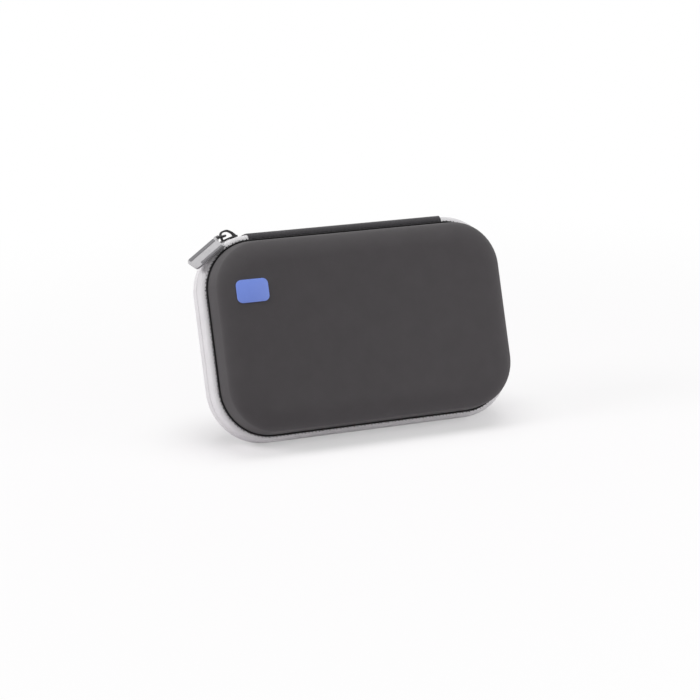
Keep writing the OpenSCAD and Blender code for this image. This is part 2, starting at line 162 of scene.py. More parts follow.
class Half(Enum):
    """The two halves of the case, each with its CAD body and its side of the parting plane."""

    BASE = ("base", -1.0)
    LID = ("lid", 1.0)

    @property
    def body(self) -> str:
        """Name of the CAD body that carries this half."""
        return self.value[0]

    @property
    def side(self) -> float:
        """Sign of z on this half."""
        return self.value[1]


# ---------------------------------------------------------------------------
# Materials
# ---------------------------------------------------------------------------


def srgb(code: str) -> tuple[float, float, float, float]:
    """Turn a colour such as "#rrggbb" into linear red, green, blue and alpha."""
    parts = [int(code[i : i + 2], 16) / 255 for i in (1, 3, 5)]
    linear = [c / 12.92 if c <= 0.04045 else ((c + 0.055) / 1.055) ** 2.4 for c in parts]
    return linear[0], linear[1], linear[2], 1.0


def add_node(
    tree: NodeTree, kind: str, settings: dict[str, object] | None = None, inputs: Inputs | None = None
) -> bpy.types.Node:
    """Add one node with its settings, and set or link its inputs.

    Args:
        tree: The node tree of a material or world.
        kind: The node's type name.
        settings: The node's own properties.
        inputs: A value or another node's socket for each input, by name or number.

    Returns:
        The new node.
    """
    node = tree.nodes.new(kind)
    for name, value in (settings or {}).items():
        setattr(node, name, value)
    for name, value in (inputs or {}).items():
        if isinstance(value, NodeSocket):
            tree.links.new(value, node.inputs[name])
        else:
            node.inputs[name].default_value = value
    return node


def maths(tree: NodeTree, operation: str, *values: object, clamp: bool = False) -> NodeSocket:
    """Add a sum of values or sockets, and return its result."""
    settings = {"operation": operation, "use_clamp": clamp}
    return add_node(tree, "ShaderNodeMath", settings, dict(enumerate(values))).outputs[0]


def noise(
    tree: NodeTree, place: NodeSocket, scale: float, detail: float = 2.0, roughness: float = 0.5
) -> NodeSocket:
    """Add a noise, and return its strength."""
    inputs = {"Vector": place, "Scale": scale, "Detail": detail, "Roughness": roughness}
    return add_node(tree, "ShaderNodeTexNoise", None, inputs).outputs[0]


def ramp(tree: NodeTree, value: NodeSocket, given: Point, wanted: Point, kind: str = "LINEAR") -> NodeSocket:
    """Map one range of values to another, held at its ends."""
    inputs = {
        "Value": value, "From Min": given[0], "From Max": given[1], "To Min": wanted[0], "To Max": wanted[1]
    }
    return add_node(tree, "ShaderNodeMapRange", {"interpolation_type": kind}, inputs).outputs[0]


def mixed(tree: NodeTree, share: NodeSocket, first: str, second: str) -> NodeSocket:
    """Mix two sRGB colours by a share."""
    inputs = {0: share, 6: srgb(first), 7: srgb(second)}
    return add_node(tree, "ShaderNodeMix", {"data_type": "RGBA"}, inputs).outputs[2]


def surface(
    tree: NodeTree, height: NodeSocket, relief: float, inputs: Inputs, strength: float = 1.0, invert: bool = False
) -> None:
    """End a material with its surface.

    Args:
        tree: The material's node tree.
        height: The height of its relief, from 0 to 1.
        relief: The depth of that relief, in millimetres.
        inputs: Inputs of the principled surface.
        strength: How much of the relief shows.
        invert: Whether the relief goes inwards.
    """
    bump = add_node(
        tree, "ShaderNodeBump", {"invert": invert},
        {"Height": height, "Distance": relief / 1000, "Strength": strength},
    )
    shader = add_node(tree, "ShaderNodeBsdfPrincipled", None, {**inputs, "Normal": bump.outputs[0]})
    add_node(tree, "ShaderNodeOutputMaterial", None, {0: shader.outputs[0]})


def new_material(name: str) -> tuple[Material, NodeTree]:
    """Make an empty node material of that name, and return it with its tree."""
    material = bpy.data.materials.new(name)
    material.use_nodes = True
    material.node_tree.nodes.clear()
    return material, material.node_tree


class Weave(Enum):
    """How a cloth is made, which decides its pattern."""

    PLAIN = "plain"
    HERRINGBONE = "herringbone"
    RIBBED = "ribbed"
    BRUSHED = "brushed"


@dataclass(frozen=True)
class ClothFinish:
    """A cloth whose threads follow the piece's own UV map, which is in millimetres."""

    name: str
    weave: Weave
    light: str
    dark: str
    thread: float
    relief: float
    mottle: float = 12.0
    mottle_share: float = 0.25
    sheen: float = 0.2
    roughness: float = 0.9
    fluff: float = 0.4
    bone_w: float = 2.4
    fibres: float = 2.2
    thread_share: float = 0.55

    def _heights(self, tree: NodeTree, uv: NodeSocket) -> NodeSocket:
        """Build the height of the threads, from 0 to 1."""
        if self.weave is Weave.BRUSHED:
            return noise(tree, uv, 1 / self.thread)
        turns = 2 * math.pi / self.thread
        parts = add_node(tree, "ShaderNodeSeparateXYZ", None, {0: uv})
        along, across = parts.outputs[0], parts.outputs[1]
        if self.weave is Weave.HERRINGBONE:
            along = maths(tree, "ADD", along, maths(tree, "PINGPONG", across, self.bone_w * self.thread))
        wave = maths(tree, "SINE", maths(tree, "MULTIPLY", along, turns))
        if self.weave is Weave.PLAIN:
            other = maths(tree, "SINE", maths(tree, "MULTIPLY", across, turns))
            wave = maths(tree, "MULTIPLY", wave, other)
        return ramp(tree, wave, (-1.0, 1.0), (0.0, 1.0))

    def build(self) -> Material:
        """Build the material: thread relief, thread and mottle colour, and short stray fibres."""
        material, tree = new_material(self.name)
        uv = add_node(tree, "ShaderNodeUVMap", {"uv_map": UV_NAME}).outputs[0]
        height = self._heights(tree, uv)
        cloud = noise(tree, uv, 1 / self.mottle, 4.0, 0.6)
        fibre = noise(tree, uv, self.fibres / self.thread)
        threads = maths(tree, "MULTIPLY", height, self.thread_share)
        share = maths(tree, "ADD", threads, maths(tree, "MULTIPLY", fibre, self.fluff))
        share = maths(tree, "ADD", share, ramp(tree, cloud, (0.3, 0.7), (0.0, self.mottle_share)), clamp=True)
        looks = {
            "Base Color": mixed(tree, share, self.dark, self.light), "Roughness": self.roughness,
            "Sheen Weight": self.sheen, "Sheen Roughness": 0.5, "Specular IOR Level": 0.25,
        }
        surface(tree, maths(tree, "MULTIPLY_ADD", fibre, self.fluff, height), self.relief, looks)
        return material


@dataclass(frozen=True)
class NetFinish:
    """Tricot net: threads round small open cells, on the piece's UV map."""

    name: str
    colour: str
    cell: float
    open_share: float
    uneven: float = 0.12
    relief: float = 0.3

    def build(self) -> Material:
        """Build the material: cells that let light through between matte threads."""
        material, tree = new_material(self.name)
        uv = add_node(tree, "ShaderNodeUVMap", {"uv_map": UV_NAME}).outputs[0]
        cells = add_node(
            tree, "ShaderNodeTexVoronoi", {"feature": "DISTANCE_TO_EDGE"},
            {"Vector": uv, "Scale": 1 / self.cell, "Randomness": self.uneven},
        ).outputs[0]
        solid = maths(tree, "SUBTRACT", 1.0, maths(tree, "GREATER_THAN", cells, self.open_share))
        looks = {"Base Color": srgb(self.colour), "Roughness": 0.8, "Sheen Weight": 0.2, "Alpha": solid}
        surface(tree, cells, self.relief, looks, strength=0.8, invert=True)
        return material


@dataclass(frozen=True)
class FoamFinish:
    """Closed-cell foam, die cut, with fine pores on Object coordinates."""

    name: str
    light: str
    dark: str
    pore: float
    relief: float

    def build(self) -> Material:
        """Build the material: pores of two sizes and a slow change of tone."""
        material, tree = new_material(self.name)
        place = add_node(tree, "ShaderNodeTexCoord").outputs["Object"]
        pores = add_node(tree, "ShaderNodeTexVoronoi", None, {"Vector": place, "Scale": 1000 / self.pore})
        height = maths(tree, "ADD", pores.outputs[0], noise(tree, place, 400.0 / self.pore, 3.0))
        share = maths(tree, "MULTIPLY", height, noise(tree, place, 40.0), clamp=True)
        looks = {
            "Base Color": mixed(tree, share, self.dark, self.light), "Roughness": 0.92, "Specular IOR Level": 0.3
        }
        surface(tree, height, self.relief, looks)
        return material


@dataclass(frozen=True)
class HardFinish:
    """Metal, rubber or plastic with a fine surface and slight wear, on Object coordinates."""

    name: str
    colour: str
    worn: str
    grain: float
    relief: float
    roughness: float
    metallic: float = 0.0
    ior: float = 1.5
    wear: float = 0.2
    uneven: float = 0.08

    def build(self) -> Material:
        """Build the material: colour that is worn in patches, uneven gloss and a fine grain."""
        material, tree = new_material(self.name)
        place = add_node(tree, "ShaderNodeTexCoord").outputs["Object"]
        grain = noise(tree, place, 1000 / self.grain, 3.0)
        worn = ramp(tree, noise(tree, place, 350.0, 5.0, 0.7), (0.5, 0.72), (0.0, self.wear))
        gloss = ramp(tree, grain, (0.0, 1.0), (self.roughness - self.uneven, self.roughness + self.uneven))
        looks = {
            "Base Color": mixed(tree, worn, self.colour, self.worn), "Metallic": self.metallic,
            "Roughness": gloss, "IOR": self.ior,
        }
        surface(tree, grain, self.relief, looks)
        return material


class Finishes:
    """Every finish of the case, built once."""

    def __init__(self) -> None:
        """Build the materials."""
        # Oxford cloth laminated on moulded foam: tight threads of 0.5 mm, drawn twice as coarse to show.
        self.shell = ClothFinish(
            "laminated_oxford_cloth", Weave.PLAIN, "#4e4b4d", "#3b393a", 1.0, 0.05, 16.0, 0.2, 0.15, 0.85
        ).build()
        # Brushed tricot: short nap without a clear thread, soft and a little darker in random patches.
        self.lining = ClothFinish(
            "brushed_tricot", Weave.BRUSHED, "#39393c", "#222224", 0.8, 0.12, 9.0, 0.3, 0.35, 0.95
        ).build()
        # Woven polyester zip tape: herringbone of 1.1 mm, pale and almost without gloss.
        self.tape = ClothFinish(
            "woven_zip_tape", Weave.HERRINGBONE, "#ebeaeb", "#cfcdd0", 1.1, 0.06, 14.0, 0.25, 0.1, 0.85, 0.35
        ).build()
        # Grosgrain spine: crosswise ribs of 0.9 mm that catch the light along the fold.
        self.spine = ClothFinish(
            "ribbed_spine_grosgrain", Weave.RIBBED, "#4b494c", "#2c2a2d", 0.9, 0.08, 20.0, 0.2, 0.2, 0.8
        ).build()
        # Twisted sewing thread: ribs of 0.7 mm across it.
        self.thread = ClothFinish(
            "twisted_thread", Weave.RIBBED, "#343236", "#161517", 0.7, 0.08, 6.0, 0.2, 0.2, 0.8
        ).build()
        # Piping cord in the seam: the same thread, darkened to nearly black as painted shade, so that its thin
        # dark line stands for both the cord and the shadow in the gap between tape and shell.
        self.cord = ClothFinish(
            "piping_cord_with_painted_gap_shade", Weave.RIBBED, "#232224", "#0e0d0e", 0.7, 0.08, 6.0, 0.2, 0.1, 0.8
        ).build()
        # Folded polyester binding tape round the pocket, finely ribbed and matte.
        self.binding = ClothFinish(
            "folded_binding_tape", Weave.RIBBED, "#77767a", "#5d5c60", 0.8, 0.06, 8.0, 0.2, 0.2, 0.85
        ).build()
        # Gathered elastic at the pocket's mouth: rubber threads that stand out as ribs.
        self.elastic = ClothFinish(
            "gathered_elastic", Weave.RIBBED, "#6f6e72", "#4f4e52", 1.1, 0.12, 7.0, 0.2, 0.2, 0.8
        ).build()
        # Tricot net of thin nylon threads round open cells.
        self.net = NetFinish("tricot_net", "#8a898c", 3.2, 0.13).build()
        # Closed-cell polyethylene foam: small cut pores, dull and nearly black.
        self.foam = FoamFinish("closed_cell_foam", "#48484b", "#28282a", 0.9, 0.12).build()
        # Zinc die casting, blacked and lacquered, rubbed a little in patches.
        self.slider = HardFinish(
            "blacked_zinc_casting", "#262527", "#5c5a5c", 0.5, 0.02, 0.38, 0.35, 1.5, 0.25
        ).build()
        # Nylon coil: smooth monofilament, pale like its tape.
        self.coil = HardFinish("nylon_coil", "#cfced1", "#b9b8bb", 0.6, 0.01, 0.35, 0.0, 1.53, 0.3).build()
        # Pressed zinc end stops, bare metal.
        self.stop = HardFinish("pressed_zinc_stop", "#9c9c9e", "#77777a", 0.4, 0.02, 0.4, 0.8, 1.5, 0.3).build()
        # Moulded soft PVC: satin, slightly uneven, with dirt in its pores.
        self.tab = HardFinish("moulded_soft_pvc", "#b7b6b8", "#9f9ea1", 0.45, 0.03, 0.55, 0.0, 1.52, 0.5).build()
        # The same PVC in a darker grey, for the two raised ribs.
        self.tab_edge = HardFinish(
            "moulded_soft_pvc_dark", "#6e6d70", "#5b5a5d", 0.45, 0.03, 0.55, 0.0, 1.52, 0.35
        ).build()
        # Printed film, bare, with a soft satin face.
        self.label = HardFinish("blank_print_film", "#7690e2", "#87a0ea", 0.7, 0.02, 0.5, 0.0, 1.5, 0.25).build()


# ---------------------------------------------------------------------------
# Mesh tools
# ---------------------------------------------------------------------------


def turned(degrees: float, axis: str) -> Matrix:
    """Matrix that turns about an axis."""
    return Matrix.Rotation(math.radians(degrees), 4, axis)


def placed(x: float, y: float, z: float) -> Matrix:
    """Matrix that moves to a place."""
    return Matrix.Translation((x, y, z))


def of_kind(geom: Iterable[object], kind: type) -> list:
    """Elements of one kind, from what an operator made."""
    return [g for g in geom if isinstance(g, kind)]


def as_mesh(bm: BMesh, name: str) -> Mesh:
    """Turn a mesh into data of that name, and free it."""
    mesh = bpy.data.meshes.new(name)
    bm.to_mesh(mesh)
    bm.free()
    return mesh


def soften(bm: BMesh, edges: list[BMEdge], size: float, segments: int) -> None:
    """Round some edges off."""
    bmesh.ops.bevel(
        bm, geom=edges, offset=size, segments=segments, profile=0.5, affect="EDGES", clamp_overlap=True,
        material=-1,
    )


def soften_sharp(bm: BMesh, size: float, over: float = 50.0) -> None:
    """Round off each edge that is sharper than an angle."""
    sharp = [e for e in bm.edges if len(e.link_faces) == 2 and e.calc_face_angle(0.0) > math.radians(over)]
    soften(bm, sharp, size, 3)


def arc(centre: Point, radius: float, start: float, end: float, steps: int) -> list[Point]:
    """Points along an arc.

    Args:
        centre: The arc's centre.
        radius: Its radius.
        start: Its first angle, in degrees.
        end: Its last angle, in degrees.
        steps: How many pieces it is cut into.

    Returns:
        The points, ends included.
    """
    angles = [math.radians(start + (end - start) * k / steps) for k in range(steps + 1)]
    return [(centre[0] + radius * math.cos(a), centre[1] + radius * math.sin(a)) for a in angles]


def rim_core(x: float, y: float) -> Point:
    """Nearest point of the rectangle between the corners' centres."""
    cx, cy = SIZES.corner_x, SIZES.corner_y
    return max(-cx, min(cx, x)), max(-cy, min(cy, y))


def rim_place(x: float, y: float) -> tuple[float, float, Vector]:
    """Where a point of the flat frame lies in relation to the rim.

    Args:
        x: The point's x.
        y: The point's y.

    Returns:
        The length along the rim from the top left corner's start, anticlockwise, the distance
        outwards from the rim, and the outward direction.
    """
    cx, cy = rim_core(x, y)
    out = Vector((x - cx, y - cy))
    reach = out.length
    if reach < 1e-6:
        return 0.0, -SIZES.rim_r, Vector((0.0, 1.0))
    out /= reach
    quarter = math.pi / 2 * SIZES.rim_r
    width, height = 2 * SIZES.corner_x, 2 * SIZES.corner_y
    turn = (math.atan2(out.y, out.x) - math.pi / 2) % (2 * math.pi)
    if turn > 2 * math.pi - 1e-6:
        turn = 0.0
    corner = int((turn + 1e-9) // (math.pi / 2))
    into = turn * SIZES.rim_r - corner * quarter
    starts = [0.0, quarter + height, 2 * quarter + height + width, 3 * quarter + 2 * height + width]
    length = starts[corner] + into
    if into < 1e-4:
        if corner == 1:
            length = quarter + (SIZES.corner_y - cy)
        elif corner == 2:
            length = 2 * quarter + height + (cx + SIZES.corner_x)
        elif corner == 3:
            length = 3 * quarter + height + width + (cy + SIZES.corner_y)
        elif abs(cx + SIZES.corner_x) > 1e-6:
            length = SIZES.perimeter - (cx + SIZES.corner_x)
    return length, reach - SIZES.rim_r, out


def rim_frame(length: float, out: float, depth: float) -> Matrix:
    """A place on the rim, as a matrix with x along the rim, y outwards and z forwards.

    Args:
        length: The length along the rim from the top left corner's start.
        out: The distance outwards from the rim.
        depth: The distance in front of the parting plane.

    Returns:
        The matrix, in the flat frame.
    """
    quarter = math.pi / 2 * SIZES.rim_r
    cx, cy = SIZES.corner_x, SIZES.corner_y
    runs = [
        (quarter, (-cx, cy), 90.0, None), (2 * cy, (-cx, cy), 180.0, (0.0, -1.0)),
        (quarter, (-cx, -cy), 180.0, None), (2 * cx, (-cx, -cy), 270.0, (1.0, 0.0)),
        (quarter, (cx, -cy), 270.0, None), (2 * cy, (cx, -cy), 0.0, (0.0, 1.0)),
        (quarter, (cx, cy), 0.0, None), (2 * cx, (cx, cy), 90.0, (-1.0, 0.0)),
    ]
    left = length % SIZES.perimeter
    for run, centre, angle, way in runs:
        if left <= run:
            turn = math.radians(angle) + (left / SIZES.rim_r if way is None else 0.0)
            normal = Vector((math.cos(turn), math.sin(turn), 0.0))
            base = Vector((*centre, depth))
            if way is not None:
                base += Vector((*way, 0.0)) * left
            along = Vector((-normal.y, normal.x, 0.0))
            matrix = Matrix((along, normal, Vector((0.0, 0.0, 1.0)))).transposed().to_4x4()
            return Matrix.Translation(base + normal * (SIZES.rim_r + out)) @ matrix
        left -= run
    return Matrix.Identity(4)


@dataclass
class Sweep:
    """Carries a section round the rim with spins and straight extrusions.

    Attributes:
        section: Its points, each as distance outwards from the rim and depth.
        side: 1 for the front half, -1 for the rear one.
        closed: Whether the last point joins the first.
    """

    section: Sequence[Point]
    side: float
    closed: bool = True

    def start(self, bm: BMesh, angle: float) -> list[BMEdge]:
        """Lay the section at an angle of the top left corner."""
        way = Vector((math.cos(math.radians(90 + angle)), math.sin(math.radians(90 + angle)), 0.0))
        centre = Vector((-SIZES.corner_x, SIZES.corner_y, 0.0))
        verts = [
            bm.verts.new(centre + way * (SIZES.rim_r + u) + Vector((0.0, 0.0, self.side * v)))
            for u, v in self.section
        ]
        pairs = list(zip(verts, verts[1:]))
        if self.closed:
            pairs.append((verts[-1], verts[0]))
        return [bm.edges.new(p) for p in pairs]

    @staticmethod
    def spin(bm: BMesh, edges: list[BMEdge], centre: Point, angle: float, steps: int) -> list[BMEdge]:
        """Turn the section round a corner, and return its last edges."""
        verts = list({v for e in edges for v in e.verts})
        made = bmesh.ops.spin(
            bm, geom=verts + edges, cent=(*centre, 0.0), axis=(0.0, 0.0, 1.0), angle=math.radians(angle),
            steps=steps, use_duplicate=False,
        )
        return of_kind(made["geom_last"], BMEdge)

    @staticmethod
    def push(bm: BMesh, edges: list[BMEdge], x: float, y: float, steps: int) -> list[BMEdge]:
        """Carry the section along a straight side, and return its last edges."""
        for _ in range(steps):
            made = bmesh.ops.extrude_edge_only(bm, edges=edges)["geom"]
            moved = of_kind(made, BMVert)
            bmesh.ops.translate(bm, verts=moved, vec=Vector((x, y, 0.0)) / steps)
            edges = [e for e in of_kind(made, BMEdge) if all(v in moved for v in e.verts)]
        return edges

    def run(
        self, bm: BMesh, left_from: float = 0.0, whole: bool = True, turn_steps: int = 14, side_steps: int = 6
    ) -> None:
        """Carry the section along the zip, or all round the rim.

        Args:
            bm: The mesh to add to.
            left_from: Degrees of the top left corner that are left out.
            whole: Whether the top side is covered too, so that the section closes on itself.
            turn_steps: Pieces in each corner.
            side_steps: Pieces along each straight side.
        """
        cx, cy = SIZES.corner_x, SIZES.corner_y
        first = self.start(bm, left_from)
        edges = self.spin(bm, first, (-cx, cy), 90 - left_from, turn_steps)
        edges = self.push(bm, edges, 0.0, -2 * cy, side_steps)
        edges = self.spin(bm, edges, (-cx, -cy), 90, turn_steps)
        edges = self.push(bm, edges, 2 * cx, 0.0, 2 * side_steps)
        edges = self.spin(bm, edges, (cx, -cy), 90, turn_steps)
        edges = self.push(bm, edges, 0.0, 2 * cy, side_steps)
        edges = self.spin(bm, edges, (cx, cy), 90, turn_steps)
        if whole:
            self.push(bm, edges, -2 * cx, 0.0, 2 * side_steps)
            bmesh.ops.remove_doubles(bm, verts=bm.verts, dist=0.002)
            return
        for rim in (first, edges):
            bmesh.ops.contextual_create(bm, geom=rim)


def paint_uv(bm: BMesh, where: Callable[[Vector, Vector], Point], wrap: float = 0.0) -> None:
    """Write the UV map, in millimetres.

    Args:
        bm: The mesh, in the flat frame.
        where: Gives the place on the cloth for a point and its face's normal.
        wrap: The length at which the first coordinate starts again, or 0.
    """
    layer = bm.loops.layers.uv.get(UV_NAME) or bm.loops.layers.uv.new(UV_NAME)
    for face in bm.faces:
        middle = where(face.calc_center_median(), face.normal)
        for loop in face.loops:
            u, v = where(loop.vert.co, face.normal)
            if wrap and u - middle[0] > wrap / 2:
                u -= wrap
            elif wrap and middle[0] - u > wrap / 2:
                u += wrap
            loop[layer].uv = (u, v)


def rim_cloth(co: Vector, _normal: Vector) -> Point:
    """Place on a tape that runs along the rim: length along it, and girth across it."""
    length, out, _way = rim_place(co.x, co.y)
    return length, abs(co.z) - out


def flat_cloth(co: Vector, normal: Vector) -> Point:
    """Place on cloth that is seen along the largest part of its normal."""
    if abs(normal.z) >= max(abs(normal.x), abs(normal.y)):
        return co.x, co.y
    if abs(normal.y) >= abs(normal.x):
        return co.x, co.z
    return co.z, co.y


def shell_cloth(co: Vector, _normal: Vector) -> Point:
    """Place on the cloth of a moulded half, unrolled outwards from its flat face."""
    _length, out, way = rim_place(co.x, co.y)
    depth = abs(co.z)
    if out <= SIZES.round_u + 0.01 or out <= -SIZES.rim_r + 0.01:
        return co.x, co.y
    draft = math.radians(SIZES.side_draft)
    if depth > SIZES.round_v:
        girth = SIZES.face_round * math.atan2(out - SIZES.round_u, depth - SIZES.round_v)
    else:
        girth = SIZES.face_round * (math.pi / 2 - draft) + (SIZES.round_v - depth) / math.cos(draft)
    reach = SIZES.rim_r + SIZES.round_u + girth
    cx, cy = rim_core(co.x, co.y)
    return cx + way.x * reach, cy + way.y * reach


def finish_piece(
    bm: BMesh, name: str, material: Material, body: str, stands_for: Sequence[str] = (),
    closed: bool = True, smooth: float = 40.0, matrix: Matrix | None = None,
) -> Object:
    """Turn a mesh from the flat frame into a finished piece that rides on its body.

    Args:
        bm: The mesh; it is freed.
        name: The piece's name.
        material: Its material.
        body: The CAD body it rides on, or "" for none yet.
        stands_for: The CAD nodes that it replaces.
        closed: Whether it is a closed shape whose normals are set here.
        smooth: The angle under which edges are shaded smooth, in degrees.
        matrix: Its own place in the flat frame, before the case is stood up.

    Returns:
        The new object.
    """
    if closed:
        bmesh.ops.recalc_face_normals(bm, faces=bm.faces)
    if not bm.loops.layers.uv:
        paint_uv(bm, flat_cloth)
    bm.transform(SIZES.stand() @ (matrix or Matrix.Identity(4)))
    limit = math.radians(smooth)
    for edge in bm.edges:
        edge.smooth = edge.is_boundary or (len(edge.link_faces) == 2 and edge.calc_face_angle(0.0) < limit)
    for face in bm.faces:
        face.smooth = True
    mesh = as_mesh(bm, name)
    mesh.materials.append(material)
    piece = bpy.data.objects.new(name, mesh)
    bpy.context.scene.collection.objects.link(piece)
    if body:
        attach(piece, body)
    if stands_for:
        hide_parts(*stands_for)
    LOG.info("piece %s: %d faces", name, len(mesh.polygons))
    return piece


def copies(bm: BMesh, small: BMesh, places: Iterable[Matrix]) -> None:
    """Add a copy of a small mesh, which is freed, at each place."""
    template = as_mesh(small, "template")
    for place in places:
        before = len(bm.verts)
        bm.from_mesh(template)
        bm.verts.ensure_lookup_table()
        bmesh.ops.transform(bm, matrix=place, verts=bm.verts[before:])
    bpy.data.meshes.remove(template)


def rounded_outline(w: float, h: float, r: float, centre: Point = (0.0, 0.0), steps: int = 6) -> list[Point]:
    """Outline of a rounded rectangle, anticlockwise."""
    x, y = w / 2 - r, h / 2 - r
    points: list[Point] = []
    for k, (sx, sy) in enumerate(((1, 1), (-1, 1), (-1, -1), (1, -1))):
        points += arc((centre[0] + sx * x, centre[1] + sy * y), r, 90.0 * k, 90.0 * k + 90, steps)
    return points


def closed_line(bm: BMesh, points: Iterable[Place]) -> list[BMEdge]:
    """Add a closed line of edges."""
    verts = [bm.verts.new(p) for p in points]
    return [bm.edges.new((verts[i - 1], verts[i])) for i in range(len(verts))]


def extruded_plate(
    bm: BMesh, loops: Sequence[Sequence[Point]], z: float, height: float, edge: float, segments: int = 3
) -> None:
    """Fill an outline with holes, give it a thickness and soften its far edges.

    Args:
        bm: The mesh to add to.
        loops: The outline and the holes in it.
        z: The depth of the near face.
        height: The distance from the near face to the far one.
        edge: The size of the bevel along the far face, or 0.
        segments: How many faces the bevel has.
    """
    edges = [e for points in loops for e in closed_line(bm, [(x, y, z) for x, y in points])]
    made = bmesh.ops.triangle_fill(bm, use_beauty=True, use_dissolve=True, edges=edges)["geom"]
    grown = bmesh.ops.extrude_face_region(bm, geom=of_kind(made, BMFace), use_keep_orig=True)["geom"]
    top = of_kind(grown, BMFace)
    bmesh.ops.translate(bm, verts=list({v for f in top for v in f.verts}), vec=(0.0, 0.0, height))
    if edge:
        inside = set(top)
        sharp = {e for f in top for e in f.edges if not all(g in inside for g in e.link_faces)}
        soften(bm, list(sharp), edge, segments)


def rod(bm: BMesh, d: float, length: float, matrix: Matrix, segments: int = 8) -> None:
    """Add a closed cylinder with its axis along the matrix's x."""
    bmesh.ops.create_cone(
        bm, cap_ends=True, segments=segments, radius1=d / 2, radius2=d / 2, depth=length,
        matrix=matrix @ turned(90, "Y"),
    )


# ---------------------------------------------------------------------------
# Shells and zip
# ---------------------------------------------------------------------------


